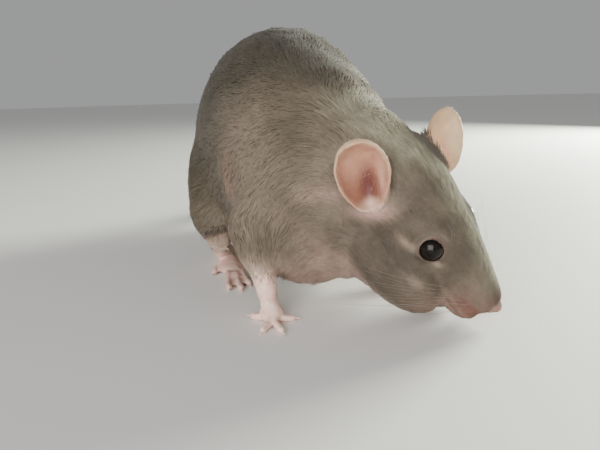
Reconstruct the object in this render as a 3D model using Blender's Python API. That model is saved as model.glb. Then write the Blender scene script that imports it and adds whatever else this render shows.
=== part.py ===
"""A pet rat at life size, crouched on all fours with its nose lowered to the floor.

The trunk faces +X, the rat's left side is +Y, and the floor is Z = 0. Every size is in millimetres until the
last step, which centres the model on the origin and scales each mesh to metres.
"""

import math

import bmesh
import bpy
import numpy as np
from mathutils import Euler, Matrix, Vector
from mathutils.bvhtree import BVHTree

MM = 0.001
GAP = 0.3
UP = Vector((0, 0, 1))
FORWARD = Vector((1, 0, 0))
SIDES = {"left": 1, "right": -1}

# The flesh is drawn out in rows: place (x, y, z), half width, height over the place, depth under it
TRUNK = (
    ("rump", -66, 3, 27, 5, 6, 6),
    ("hips", -57, 3, 31, 24, 25, 21),
    ("loin", -37, 2.5, 35, 34, 40, 29),
    ("arch", -12, 2.5, 36, 36, 49, 31),
    ("ribs", 12, 3.5, 36, 33, 44.5, 31),
    ("chest", 32, 7, 35, 28, 35, 31),
    ("shoulders", 45, 12.8, 33, 22, 28.5, 29.5),
    ("neck", 56, 23.5, 31, 15, 19.5, 24),
)
BREAST = ((42, 2, 18.5), (14, 21, 16))
THROAT = ((56, 20, 18), (13, 14, 14))

# Head frame: nose tip at the origin, +X out through the nose, +Y the rat's left, +Z the crown
NOSE = Vector((76.2, 43.0, 4.02))
HEAD_YAW = 50.2
HEAD_PITCH = 44.4
HEAD_ROLL = 24.3
HEAD_SIZE = 1.06
SKULL = (
    ("nose", -0.4, 0, -0.2, 2.5, 2.3, 2.0),
    ("muzzle", -4.5, 0, -0.6, 4.8, 4.8, 4.8),
    ("whisker bed", -10, 0, -0.8, 7.2, 7.4, 7.4),
    ("bridge", -16, 0, -0.6, 9.2, 9.8, 9.6),
    ("eyes", -24, 0, 0, 11.6, 12.4, 12.2),
    ("brow", -32, 0, 0, 14.4, 15.0, 14.4),
    ("crown", -41, 0, 0, 16.2, 16.6, 16.2),
    ("nape", -52, 0, -1, 16.0, 15.8, 17.5),
    ("neck", -62, 0, -2, 14.5, 13.5, 17),
)
JAW = (
    ("chin", -6.2, 0, -8.2, 3.4, 2.4, 3.0),
    ("lower lip", -11, 0, -9.4, 7.0, 3.4, 4.6),
    ("jaw", -20, 0, -11.0, 10.8, 5.0, 6.2),
    ("jaw angle", -34, 0, -12.4, 13.0, 6.6, 7.8),
)
NOSE_PAD = ((-1.1, 0, 0.0), (1.8, 2.5, 1.8))
LIP_PAD = ((-8.8, 3.9, -3.2), (6.6, 4.5, 4.5))
CHEEK = ((-27.0, 8.6, -7.4), (17.4, 9.2, 11.0))
BROW = ((-28, 5.5, 8.0), (8.0, 3.2, 3.2))

EYE_RADIUS = 3.4
EYE_PLACE = (-23.2, 7.5, 5.2)
LID_THICKNESS = 0.7
LID_OPENING = (3.1, 2.8)
EYE_LOOK = (0.22, 0.80, 0.42)

# Each ear: its foot, the way its tip points and the way its cup opens, in the head's frame
EARS = {
    "left": ((-34.6, 14.2, 4.6), (-0.63, 0.18, 0.75), (0.47, 0.87, 0.15)),
    "right": ((-38.4, -14.6, 5.4), (-0.78, 0.02, 0.62), (0.42, -0.75, 0.50)),
}
EAR_LENGTH = 20.0
EAR_WIDTH = 15.0
EAR_DEPTH = 5.0
EAR_THICKNESS = 0.9
EAR_LID = 4.0

MOUTH_LINE = ((-5.2, 0), (-6.2, 1.8), (-9.0, 3.6), (-13.0, 5.0), (-17.5, 6.2))
MOUTH_HEIGHT = (-5.8, -6.2, -7.0, -7.6, -7.6)
MOUTH_GROOVE = 0.4

FORELEG = {
    "right": ((38, -8, 30, 10, 12, 12), (42, -16.5, 23, 9, 9, 9), (46.5, -16.3, 17, 7.2, 6.6, 6.6),
              (52.6, -15.8, 10, 4.2, 4.2, 4.2), (56.0, -15.3, 4.6, 2.8, 2.4, 2.4)),
    "left": ((34, 22, 30, 9, 12, 12), (31, 30, 23, 8, 9, 9), (35, 32, 16, 5.6, 5.6, 5.6),
             (40, 33.2, 9, 3.6, 3.6, 3.6), (42.4, 33.4, 4.6, 2.8, 2.4, 2.4)),
}
FOREFOOT_PLACE = {"right": (58.4, -15.0, -8), "left": (45.2, 33.8, 10)}
FOREFOOT_TOES = ((-115, 6.2), (-22, 7.0), (20, 7.4), (88, 6.2))

HINDLEG = {
    "right": ((-34, -15, 34, 14, 22, 22), (-12, -24, 30, 12, 22, 22), (10, -27.5, 21, 8.5, 12, 12),
              (17, -27, 13, 6, 7, 7), (8, -26, 8, 4, 4, 4.5), (-2, -25.5, 5, 3.2, 3.2, 3.4)),
    "left": ((-36, 21, 34, 14, 22, 22), (-14, 31, 30, 12, 22, 22), (8, 34.5, 21, 8.5, 12, 12),
             (15, 34, 13, 6, 7, 7), (6, 33, 8, 4, 4, 4.5), (-4, 32.5, 5, 3.2, 3.2, 3.4)),
}
HINDFOOT_PLACE = {"right": (-3, -24.5, 3), "left": (-5, 31.5, 8)}
HINDFOOT_LENGTH = 27.0
HINDFOOT_TOES = (
    (10, 3.0, 28, 6.5),
    (25, 2.7, 7, 11.5),
    (27, 0.7, 1, 12.5),
    (26, -1.5, -6, 12.0),
    (15, -3.0, -22, 8.5),
)

TAIL = (
    (-56, 3, 27, 8, 8, 8), (-68, 4, 18, 6.2, 6.2, 6.2), (-80, 6, 8.5, 5.2, 5.2, 5.2),
    (-94, 10, 4.3, 4.6, 4.6, 4.6), (-112, 19, 3.7, 4.0, 4.0, 4.0), (-124, 36, 3.1, 3.4, 3.4, 3.4),
    (-122, 57, 2.6, 2.9, 2.9, 2.9), (-107, 73, 2.1, 2.4, 2.4, 2.4), (-88, 80, 1.6, 1.9, 1.9, 1.9),
    (-74, 80, 1.2, 1.2, 1.4, 1.4),
)
TAIL_CUTS = (0.115, 0.37, 0.62, 0.82)

NOSTRIL_PLACE = (0.2, 1.5, -0.1)
NOSTRIL_SIZE = (1.5, 0.55, 0.8)
CLAW_ROWS = ((-1.2, 0.25, 0.5), (0.2, 0.3, 0.5), (1.3, 0.1, 0.36), (2.2, -0.35, 0.16))
EAR_AROUND = 22
EAR_ALONG = 12

VOXEL = 0.55
SMOOTHING = 8
FLESH_TRIANGLES = 4400
FINE_SHARE = 0.9
LIMB_MARGIN = 1.2

# Colour and roughness of each finish, by the start of the node's name
COLOURS = {
    "eye": ((0.008, 0.006, 0.006), 0.08),
    "ear": ((0.62, 0.36, 0.30), 0.6),
    "tail": ((0.48, 0.33, 0.29), 0.7),
    "forefoot": ((0.66, 0.42, 0.38), 0.6),
    "hindfoot": ((0.66, 0.42, 0.38), 0.6),
    "coat": ((0.25, 0.21, 0.17), 0.85),
}


def smooth_rows(rows, shares):
    """Rows of numbers read at shares from 0 to 1 along one smooth curve through them, by arc length of the places."""
    rows = np.asarray(rows, float)
    steps = np.linalg.norm(np.diff(rows[:, :3], axis=0), axis=1)
    knots = np.r_[0, np.cumsum(steps)] / steps.sum()
    slopes = np.gradient(rows, knots, axis=0)
    at = np.clip(np.searchsorted(knots, shares, side="right") - 1, 0, len(knots) - 2)
    span = (knots[at + 1] - knots[at])[:, None]
    t = (shares - knots[at])[:, None] / span
    return (
        (1 + 2 * t) * (1 - t) ** 2 * rows[at]
        + t * (1 - t) ** 2 * span * slopes[at]
        + t * t * (3 - 2 * t) * rows[at + 1]
        + t * t * (t - 1) * span * slopes[at + 1]
    )


def drawn_out(bm, stations, up=UP, around=24, along=28, caps=(0.06, 0.06), fullness=2.0, place=Matrix()):
    """Adds one closed form to bm: a sphere drawn out along its stations, with round ends."""
    rows = [s[1:] if isinstance(s[0], str) else s for s in stations]
    made = bmesh.ops.create_uvsphere(bm, u_segments=around, v_segments=along, radius=1.0)["verts"]
    co = np.array([v.co for v in made])
    shares = np.clip((1 - co[:, 2]) / 2, 0, 1)
    level = smooth_rows(rows, shares)
    step = 1e-3
    run = smooth_rows(rows, np.clip(shares + step, 0, 1)) - smooth_rows(rows, np.clip(shares - step, 0, 1))
    run = run[:, :3] / np.linalg.norm(run[:, :3], axis=1)[:, None]
    side = np.cross(np.array(up), run)
    side /= np.linalg.norm(side, axis=1)[:, None]
    rise = np.cross(run, side)
    first, last = caps
    rounding = np.sqrt(np.clip(1 - np.clip(1 - shares / first, 0, 1) ** 2, 0, 1))
    rounding *= np.sqrt(np.clip(1 - np.clip(1 - (1 - shares) / last, 0, 1) ** 2, 0, 1))
    angle = np.arctan2(co[:, 1], co[:, 0])
    across = np.sign(np.cos(angle)) * np.abs(np.cos(angle)) ** (2 / fullness)
    over = np.sign(np.sin(angle)) * np.abs(np.sin(angle)) ** (2 / fullness)
    depth = np.where(over > 0, level[:, 4], level[:, 5])
    points = level[:, :3] + side * (level[:, 3] * across * rounding)[:, None] + rise * (depth * over * rounding)[:, None]
    for vert, point in zip(made, points):
        vert.co = place @ Vector(point)
    return made


def ball(bm, centre, radii, turn=(0, 0, 0), place=Matrix(), subdivisions=3):
    """Adds one ellipsoid to bm."""
    made = bmesh.ops.create_icosphere(bm, subdivisions=subdivisions, radius=1.0)["verts"]
    shape = Matrix.LocRotScale(Vector(centre), Euler([math.radians(a) for a in turn]), Vector(radii))
    for vert in made:
        vert.co = place @ (shape @ vert.co)
    return made


def head_frame():
    turn = Matrix.Rotation(math.radians(HEAD_YAW), 4, "Z")
    turn = turn @ Matrix.Rotation(math.radians(HEAD_PITCH), 4, "Y")
    turn = turn @ Matrix.Rotation(math.radians(HEAD_ROLL), 4, "X")
    return Matrix.Translation(NOSE) @ turn @ Matrix.Scale(HEAD_SIZE, 4)


def axes(centre, out, up):
    """A frame at centre whose Z is out and whose Y is as near up as it can be."""
    out = Vector(out).normalized()
    across = Vector(up).cross(out).normalized()
    frame = Matrix((across, out.cross(across), out)).transposed().to_4x4()
    frame.translation = Vector(centre)
    return frame


def sided(point, side):
    return Vector((point[0], point[1] * side, point[2]))


HEAD = head_frame()


def new_object(name, bm):
    mesh = bpy.data.meshes.new(name)
    bm.normal_update()
    bmesh.ops.recalc_face_normals(bm, faces=bm.faces)
    bm.to_mesh(mesh)
    bm.free()
    obj = bpy.data.objects.new(name, mesh)
    bpy.context.scene.collection.objects.link(obj)
    return obj


def apply_modifiers(obj):
    """Leaves obj with the mesh that its modifiers give, and no modifiers."""
    shown = obj.evaluated_get(bpy.context.evaluated_depsgraph_get())
    mesh = bpy.data.meshes.new_from_object(shown)
    obj.modifiers.clear()
    obj.data = mesh


def boolean(obj, cutter, operation, keep=False, solver="EXACT"):
    cut = obj.modifiers.new(operation.lower(), "BOOLEAN")
    cut.operation = operation
    cut.solver = solver
    cut.object = cutter
    apply_modifiers(obj)
    if not keep:
        bpy.data.objects.remove(cutter)
    largest_surface(obj)


def largest_surface(obj):
    """Keeps the largest closed surface of obj, with faces of three corners."""
    bm = bmesh.new()
    bm.from_mesh(obj.data)
    bmesh.ops.triangulate(bm, faces=bm.faces)
    bmesh.ops.remove_doubles(bm, verts=bm.verts, dist=0.001)
    left = set(bm.faces)
    shells = []
    while left:
        shell = {left.pop()}
        edge = list(shell)
        while edge:
            face = edge.pop()
            for corner in face.edges:
                for other in corner.link_faces:
                    if other in left:
                        left.discard(other)
                        shell.add(other)
                        edge.append(other)
        shells.append(shell)
    shells.sort(key=lambda faces: sum(f.calc_area() for f in faces))
    loose = [face for shell in shells[:-1] for face in shell]
    bmesh.ops.delete(bm, geom=loose, context="FACES")
    bmesh.ops.delete(bm, geom=[v for v in bm.verts if not v.link_faces], context="VERTS")
    bm.to_mesh(obj.data)
    bm.free()


def body_forms(bm):
    drawn_out(bm, TRUNK, around=32, along=40, fullness=2.1, caps=(0.08, 0.06))
    drawn_out(bm, SKULL, place=HEAD, caps=(0.03, 0.1))
    drawn_out(bm, JAW, place=HEAD, caps=(0.12, 0.2))
    ball(bm, *BREAST)
    ball(bm, *THROAT)
    ball(bm, *NOSE_PAD, place=HEAD)
    for side in SIDES.values():
        for centre, radii in (LIP_PAD, CHEEK, BROW):
            ball(bm, sided(centre, side), radii, place=HEAD)
    drawn_out(bm, tail_rows(0, TAIL_CUTS[0] + 0.03), around=16, along=24, caps=(0.1, 0.1))


def leg_forms(bm, name):
    drawn_out(bm, FORELEG[name], up=FORWARD, around=16, along=20, caps=(0.1, 0.06))
    drawn_out(bm, HINDLEG[name], around=16, along=28, caps=(0.1, 0.05))


def toe_rows(root, heading, length, root_radius, height):
    """One toe: it rises a little over its knuckle and comes down to its pad."""
    way = Vector((math.cos(heading), math.sin(heading), 0))
    points = ((0.0, height, root_radius), (0.45, height * 0.86, root_radius * 0.82), (1.0, 0.75, root_radius * 0.86))
    return [(*(root + way * length * share + UP * rise), r, r, r) for share, rise, r in points]


def forefoot_forms(bm, name):
    x, y, turn = FOREFOOT_PLACE[name]
    side = SIDES[name]
    heading = math.radians(turn)
    way = Vector((math.cos(heading), math.sin(heading), 0))
    palm = Vector((x, y, 0))
    heel = palm - way * 3.0
    rows = (
        (*(heel + UP * 3.6), 2.7, 2.2, 2.2),
        (*(palm + UP * 2.0), 3.3, 1.9, 2.1),
        (*(palm + way * 2.6 + UP * 1.5), 3.0, 1.4, 1.6),
    )
    drawn_out(bm, rows, around=16, along=14, caps=(0.25, 0.3))
    tips = []
    for degrees, length in FOREFOOT_TOES:
        angle = heading - side * math.radians(degrees)
        root = palm + way * 1.0 + Vector((math.cos(angle), math.sin(angle), 0)) * 1.6
        rows = toe_rows(root, angle, length - 1.6, 1.25, 1.5)
        drawn_out(bm, rows, around=10, along=12, caps=(0.3, 0.14))
        tips.append((Vector(rows[-1][:3]), angle))
    return tips


def hindfoot_forms(bm, name):
    x, y, turn = HINDFOOT_PLACE[name]
    side = SIDES[name]
    heading = math.radians(turn)
    place = Matrix.Translation((x, y, 0)) @ Matrix.Rotation(heading, 4, "Z")
    rows = (
        (-2, 0, 4.4, 3.0, 3.2, 3.2),
        (4, 0, 3.0, 3.2, 2.8, 3.3),
        (14, 0, 2.2, 3.6, 2.3, 2.6),
        (22, 0, 1.9, 4.2, 1.9, 2.2),
        (HINDFOOT_LENGTH, 0, 1.5, 4.0, 1.5, 1.8),
    )
    drawn_out(bm, rows, around=16, along=24, caps=(0.12, 0.14), place=place)
    tips = []
    for root_x, root_y, degrees, length in HINDFOOT_TOES:
        angle = heading - side * math.radians(degrees)
        root = place @ Vector((root_x, -side * root_y, 0))
        rows = toe_rows(root, angle, length, 1.45, 1.7)
        drawn_out(bm, rows, around=10, along=14, caps=(0.2, 0.1))
        tips.append((Vector(rows[-1][:3]), angle))
    return tips


def whole_flesh():
    """All the flesh but the ears as one closed mesh, with flats where it meets the floor."""
    bm = bmesh.new()
    body_forms(bm)
    tips = {}
    for name in SIDES:
        leg_forms(bm, name)
        tips["forefoot_" + name] = forefoot_forms(bm, name)
        tips["hindfoot_" + name] = hindfoot_forms(bm, name)
    flesh = new_object("torso", bm)
    remesh = flesh.modifiers.new("skin", "REMESH")
    remesh.mode = "VOXEL"
    remesh.voxel_size = VOXEL
    smooth = flesh.modifiers.new("smooth", "SMOOTH")
    smooth.iterations = SMOOTHING
    smooth.factor = 0.5
    apply_modifiers(flesh)
    largest_surface(flesh)
    simplified(flesh)
    flat_on_floor(flesh)
    return flesh, tips


def simplified(flesh):
    """Thins the mesh to FLESH_TRIANGLES, and keeps more of them on the head and the feet."""
    fine = flesh.vertex_groups.new(name="fine")
    back = HEAD.inverted()
    for vert in flesh.data.vertices:
        x = (back @ vert.co).x
        share = min(max((x + 48) / 20, 0), 1)
        if vert.co.z < 7:
            share = max(share, 0.7)
        fine.add([vert.index], 1 - FINE_SHARE * share, "REPLACE")
    thin = flesh.modifiers.new("thin", "DECIMATE")
    thin.ratio = FLESH_TRIANGLES / len(flesh.data.polygons)
    thin.vertex_group = "fine"
    thin.vertex_group_factor = 1.0
    apply_modifiers(flesh)
    flesh.vertex_groups.clear()


def flat_on_floor(obj):
    """Cuts obj level with the floor and closes the cuts."""
    bm = bmesh.new()
    bm.from_mesh(obj.data)
    everything = bm.verts[:] + bm.edges[:] + bm.faces[:]
    cut = bmesh.ops.bisect_plane(bm, geom=everything, dist=0.001, plane_co=(0, 0, 0), plane_no=UP, clear_inner=True)
    rims = [part for part in cut["geom_cut"] if isinstance(part, bmesh.types.BMEdge)]
    bmesh.ops.holes_fill(bm, edges=rims, sides=0)
    bmesh.ops.triangulate(bm, faces=bm.faces)
    bmesh.ops.recalc_face_normals(bm, faces=bm.faces)
    bm.to_mesh(obj.data)
    bm.free()


def ball_region(centre, radii, place=Matrix()):
    bm = bmesh.new()
    ball(bm, centre, radii, place=place)
    return new_object("region", bm)


def limb_region(rows, up):
    """A closed form a little wider than the limb that its rows draw."""
    bm = bmesh.new()
    wider = [(*row[:3], *(r + LIMB_MARGIN for r in row[3:])) for row in rows]
    before, last = Vector(wider[-2][:3]), Vector(wider[-1][:3])
    wider.append((*(last + (last - before).normalized() * 6), *wider[-1][3:]))
    drawn_out(bm, wider, up=up, around=20, along=24, caps=(0.16, 0.05))
    limb = new_object("region", bm)
    remesh = limb.modifiers.new("skin", "REMESH")
    remesh.mode = "VOXEL"
    remesh.voxel_size = 1.5
    smooth = limb.modifiers.new("smooth", "SMOOTH")
    smooth.iterations = 6
    thin = limb.modifiers.new("thin", "DECIMATE")
    thin.ratio = 0.10
    apply_modifiers(limb)
    largest_surface(limb)
    return limb


def parted(flesh, name, region):
    """Cuts the node that lies inside region out of flesh, with the gap round it."""
    node = flesh.copy()
    node.data = flesh.data.copy()
    node.name = name
    bpy.context.scene.collection.objects.link(node)
    grown = grown_copy(region, GAP)
    boolean(node, region, "INTERSECT")
    boolean(flesh, grown, "DIFFERENCE")
    return node


def tail_rows(first, last, count=12):
    return [tuple(row) for row in smooth_rows(TAIL, np.linspace(first, last, count))]


def tail_length():
    rows = smooth_rows(TAIL, np.linspace(0, 1, 400))
    return float(np.linalg.norm(np.diff(rows[:, :3], axis=0), axis=1).sum())


def tail_nodes(flesh):
    """Cuts the tail's furred root square and adds the bare lengths behind it."""
    start = Vector(smooth_rows(TAIL, np.array([TAIL_CUTS[0]]))[0][:3])
    ahead = Vector(smooth_rows(TAIL, np.array([TAIL_CUTS[0] + 0.01]))[0][:3])
    bm = bmesh.new()
    bmesh.ops.create_cube(bm, size=24)
    bmesh.ops.translate(bm, verts=bm.verts, vec=(0, 0, 12))
    bm.transform(axes(start, ahead - start, UP))
    boolean(flesh, new_object("root cut", bm), "DIFFERENCE")
    gap = GAP / tail_length()
    names = ("tail_base", "tail_middle", "tail_slender", "tail_tip")
    ends = (*TAIL_CUTS[1:], 1.0)
    for name, first, last in zip(names, TAIL_CUTS, ends):
        bm = bmesh.new()
        along = max(10, round((last - first) * 46))
        is_tip = name == "tail_tip"
        drawn_out(bm, tail_rows(first + gap, last), around=12, along=along, caps=(0.001, 0.1 if is_tip else 0.001))
        node = new_object(name, bm)
        flat_on_floor(node)


def eye_socket(head, name):
    """Raises the lids round one eye, sinks its socket and sets the eye in it."""
    side = SIDES[name]
    centre = HEAD @ sided(EYE_PLACE, side)
    look = (HEAD.to_3x3() @ sided(EYE_LOOK, side)).normalized()
    along = HEAD.to_3x3() @ Vector((0, 0, 1))
    frame = axes(centre, look, along)
    bm = bmesh.new()
    ball(bm, (0, 0, 0), [EYE_RADIUS + LID_THICKNESS] * 3, place=frame)
    boolean(head, new_object("lids", bm), "UNION")
    bm = bmesh.new()
    ball(bm, (0, 0, 0), [EYE_RADIUS + GAP] * 3, place=frame)
    socket = new_object("socket", bm)
    bm = bmesh.new()
    half_width, half_height = LID_OPENING
    ball(bm, (0, 0, EYE_RADIUS), (half_width, half_height, EYE_RADIUS * 0.75), place=frame)
    boolean(socket, new_object("opening", bm), "UNION")
    boolean(head, socket, "DIFFERENCE")
    bm = bmesh.new()
    ball(bm, (0, 0, 0), [EYE_RADIUS] * 3, place=frame)
    new_object("eye_" + name, bm)


def surface_point(tree, inside, way):
    return tree.ray_cast(inside, way.normalized())[0]


def evenly(points, count):
    """count places at even steps along the straight lines through points."""
    points = np.asarray(points, float)
    steps = np.linalg.norm(np.diff(points, axis=0), axis=1)
    run = np.r_[0, np.cumsum(steps)]
    return np.transpose([np.interp(np.linspace(0, run[-1], count), run, column) for column in points.T])


def mouth_and_nostrils(head):
    """Sinks the line between the lips, the cleft under the nose and the two nostrils."""
    bm = bmesh.new()
    bm.from_mesh(head.data)
    tree = BVHTree.FromBMesh(bm)
    bm.free()
    turn = HEAD.to_3x3()
    half = [(x, y, z) for (x, y), z in zip(MOUTH_LINE, MOUTH_HEIGHT)]
    line = [(x, -y, z) for x, y, z in reversed(half[1:])] + half
    rows = []
    for x, y, z in evenly(line, 31):
        inside = HEAD @ Vector((x - 2, y * 0.3, z * 0.55))
        hit = surface_point(tree, inside, HEAD @ Vector((x, y, z)) - inside)
        rows.append((*hit, MOUTH_GROOVE, MOUTH_GROOVE, MOUTH_GROOVE))
    bm = bmesh.new()
    drawn_out(bm, rows, up=turn @ UP, around=6, along=32, caps=(0.05, 0.05))
    boolean(head, new_object("mouth", bm), "DIFFERENCE")
    for side in SIDES.values():
        bm = bmesh.new()
        ball(bm, sided(NOSTRIL_PLACE, side), NOSTRIL_SIZE, turn=(0, 25, -35 * side), place=HEAD, subdivisions=2)
        boolean(head, new_object("nostril", bm), "DIFFERENCE")


def ear_form(name, whole=False):
    """Half an egg-shaped bowl, narrowed and folded forward at its foot, or with a lid over it the whole egg."""
    bm = bmesh.new()
    made = bmesh.ops.create_uvsphere(bm, u_segments=EAR_AROUND, v_segments=EAR_ALONG, radius=1.0)["verts"]
    if not whole:
        bmesh.ops.delete(bm, geom=[v for v in made if v.co.z > 0.02], context="VERTS")
    bmesh.ops.triangulate(bm, faces=bm.faces)
    for vert in bm.verts:
        x, y, z = vert.co
        foot = (1 - y) / 2
        narrow = 1 - 0.42 * foot ** 2.2
        depth = EAR_DEPTH * (0.75 + 0.75 * foot) if z < 0 else EAR_LID
        fold = 3.2 * max(foot - 0.35, 0) * abs(x) ** 1.5
        vert.co = (x * EAR_WIDTH / 2 * narrow, (y + 1) * EAR_LENGTH / 2, z * depth + fold)
    place, up, opening = (Vector(row) for row in EARS[name])
    bm.transform(axes(HEAD @ place, HEAD.to_3x3() @ opening, HEAD.to_3x3() @ up))
    return new_object("ear_" + name, bm)


def ear(name, neighbours):
    """Sets one ear in a hollow of the parts that it grows from."""
    room = grown_copy(ear_form(name, whole=True), EAR_THICKNESS / 2 + GAP)
    for part in neighbours:
        boolean(part, room, "DIFFERENCE", keep=True)
    bpy.data.objects.remove(room)
    bpy.data.objects.remove(bpy.data.objects["ear_" + name])
    node = ear_form(name)
    wall = node.modifiers.new("wall", "SOLIDIFY")
    wall.thickness = EAR_THICKNESS
    wall.offset = 0
    apply_modifiers(node)
    largest_surface(node)
    node.name = "ear_" + name
    return node


def grown_copy(obj, distance):
    grown = obj.copy()
    grown.data = obj.data.copy()
    bpy.context.scene.collection.objects.link(grown)
    push = grown.modifiers.new("grow", "DISPLACE")
    push.mid_level = 0
    push.strength = distance
    apply_modifiers(grown)
    return grown


def claws(foot, tips):
    """Adds a small curved claw to each toe."""
    for place, angle in tips:
        bm = bmesh.new()
        way = Vector((math.cos(angle), math.sin(angle), 0))
        rows = [(*(place + way * out + UP * rise), r, r, r) for out, rise, r in CLAW_ROWS]
        drawn_out(bm, rows, around=5, along=5, caps=(0.1, 0.1))
        boolean(foot, new_object("claw", bm), "UNION")


def build():
    for old in list(bpy.data.objects):
        bpy.data.objects.remove(old)
    flesh, tips = whole_flesh()
    for name in SIDES:
        x, y, _ = FOREFOOT_PLACE[name]
        foot = parted(flesh, "forefoot_" + name, ball_region((x + 0.5, y, 0), (11, 11, 5.6)))
        claws(foot, tips["forefoot_" + name])
        x, y, _ = HINDFOOT_PLACE[name]
        foot = parted(flesh, "hindfoot_" + name, ball_region((x + 19, y, 0), (25, 13, 6.2)))
        claws(foot, tips["hindfoot_" + name])
    for name in SIDES:
        parted(flesh, "foreleg_" + name, limb_region(FORELEG[name], FORWARD))
        parted(flesh, "hindleg_" + name, limb_region(HINDLEG[name], UP))
    tail_nodes(flesh)
    head = parted(flesh, "head", ball_region((-22, 0, -1), (31, 30, 30), HEAD))
    neck = parted(flesh, "neck", ball_region((-53, 0, -3), (19, 25, 25), HEAD))
    for name in SIDES:
        ear(name, (head, neck, flesh))
    for name in SIDES:
        eye_socket(head, name)
    mouth_and_nostrils(head)
    finish_nodes()


def finish_nodes():
    """Centres the model on the origin, scales every mesh to metres and gives each node its material."""
    nodes = [obj for obj in bpy.data.objects if obj.type == "MESH"]
    corners = np.array([vert.co for obj in nodes for vert in obj.data.vertices])
    low, high = corners.min(axis=0), corners.max(axis=0)
    middle = Vector(((low[0] + high[0]) / 2, (low[1] + high[1]) / 2, low[2]))
    for obj in nodes:
        obj.data.transform(Matrix.Scale(MM, 4) @ Matrix.Translation(-middle))
        obj.data.shade_smooth()
        obj.data.materials.append(finish_of(obj.name))


def finish_of(name):
    kind = next((kind for kind in COLOURS if name.startswith(kind)), "coat")
    colour, roughness = COLOURS[kind]
    material = bpy.data.materials.new(name)
    material.use_nodes = True
    shader = material.node_tree.nodes["Principled BSDF"]
    shader.inputs["Base Color"].default_value = (*colour, 1)
    shader.inputs["Roughness"].default_value = roughness
    return material


build()
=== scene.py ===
"""The looks of a pet rat at life size: one skin over the whole body, its coat, eyes, claws and whiskers.

Sizes are in millimetres in the rat's own frame: the trunk faces +X, its left is +Y and the floor is Z = 0.
Every piece ends in metres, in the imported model's frame.
"""

import math

import bmesh
import bpy
import numpy as np
from mathutils import Matrix, Vector
from mathutils.bvhtree import BVHTree
from mathutils.kdtree import KDTree


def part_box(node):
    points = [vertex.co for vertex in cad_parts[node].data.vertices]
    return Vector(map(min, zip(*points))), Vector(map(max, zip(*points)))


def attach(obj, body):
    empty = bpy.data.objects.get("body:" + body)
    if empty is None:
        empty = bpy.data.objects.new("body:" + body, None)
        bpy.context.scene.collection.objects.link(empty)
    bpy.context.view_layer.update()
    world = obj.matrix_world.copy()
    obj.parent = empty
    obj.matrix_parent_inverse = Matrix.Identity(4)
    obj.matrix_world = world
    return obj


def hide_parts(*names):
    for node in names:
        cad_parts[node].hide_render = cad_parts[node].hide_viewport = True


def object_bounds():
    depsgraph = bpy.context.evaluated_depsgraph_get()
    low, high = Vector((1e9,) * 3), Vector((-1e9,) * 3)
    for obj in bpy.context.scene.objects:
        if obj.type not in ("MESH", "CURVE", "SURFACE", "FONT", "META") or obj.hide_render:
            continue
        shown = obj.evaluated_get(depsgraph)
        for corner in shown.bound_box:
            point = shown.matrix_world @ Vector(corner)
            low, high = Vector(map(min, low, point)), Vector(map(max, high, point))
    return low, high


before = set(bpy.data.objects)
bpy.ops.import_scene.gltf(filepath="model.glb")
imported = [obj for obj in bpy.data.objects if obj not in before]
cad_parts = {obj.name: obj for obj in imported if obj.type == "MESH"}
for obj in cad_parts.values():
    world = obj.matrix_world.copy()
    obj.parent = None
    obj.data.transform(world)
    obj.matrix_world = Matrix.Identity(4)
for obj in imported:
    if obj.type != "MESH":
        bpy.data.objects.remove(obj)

CAD_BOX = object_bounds()
MM = 0.001
UP = Vector((0, 0, 1))
SIDES = {"left": 1, "right": -1}

# The head's own frame: nose tip at the origin, +X out through the nose, +Y the rat's left, +Z the crown
NOSE = Vector((76.2, 43.0, 4.02))
HEAD_YAW = 50.2
HEAD_PITCH = 44.4
HEAD_ROLL = 24.3
HEAD_SIZE = 1.06
EYE_PLACE = (-23.2, 7.5, 5.2)
EYE_LOOK = (0.22, 0.80, 0.42)
EYE_SIZE = 3.4 * HEAD_SIZE
LID_RIM = 3.2
LID_STRETCH = (-0.03, 0.09)
LID_THICKNESS = 0.10
EARS = {
    "left": ((-34.6, 14.2, 4.6), (-0.63, 0.18, 0.75), (0.47, 0.87, 0.15)),
    "right": ((-38.4, -14.6, 5.4), (-0.78, 0.02, 0.62), (0.42, -0.75, 0.50)),
}
EAR_LENGTH = 20.0
EAR_WIDTH = 15.0
MOUTH = ((-5.2, 0, -6.0), (-6.2, 1.8, -6.6), (-9.0, 3.6, -7.6), (-13.0, 5.0, -8.4), (-17.5, 6.2, -8.8))
FOREFOOT_PLACE = {"right": (58.4, -15.0, -8), "left": (45.2, 33.8, 10)}
# A toe: its root forward of the foot's place and inward of it, its heading in degrees and its length
FOREFOOT_TOES = ((1, 0, -115, 6.2), (1, 0, -22, 7.0), (1, 0, 20, 7.4), (1, 0, 88, 6.2))
HINDFOOT_PLACE = {"right": (-3, -24.5, 3), "left": (-5, 31.5, 8)}
HINDFOOT_TOES = (
    (10, 3.0, 28, 6.5), (25, 2.7, 7, 11.5), (27, 0.7, 1, 12.5), (26, -1.5, -6, 12.0), (15, -3.0, -22, 8.5),
)
TOE_THICKNESS = {"forefoot": 0.86, "hindfoot": 0.98}
CLAW_RADIUS = 0.34
CLAW_LENGTH = 1.9
TAIL_LINE = ((-56, 3, 27), (-68, 4, 18), (-80, 6, 8.5), (-94, 10, 4.3), (-112, 19, 3.7), (-124, 36, 3.1),
             (-122, 57, 2.6), (-107, 73, 2.1), (-88, 80, 1.6), (-74, 80, 1.2))
TRUNK_AXIS = (3.0, 36.0)
# Whiskers that start higher than this on the head stand over the eye
BROW = 8
# The two over each eye: back from the nose, up on the head, and length
BROW_WHISKERS = ((-20.5, 9.5, 8), (-21.5, 9.8, 10))
WHISKER_RADIUS = 0.035
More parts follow.
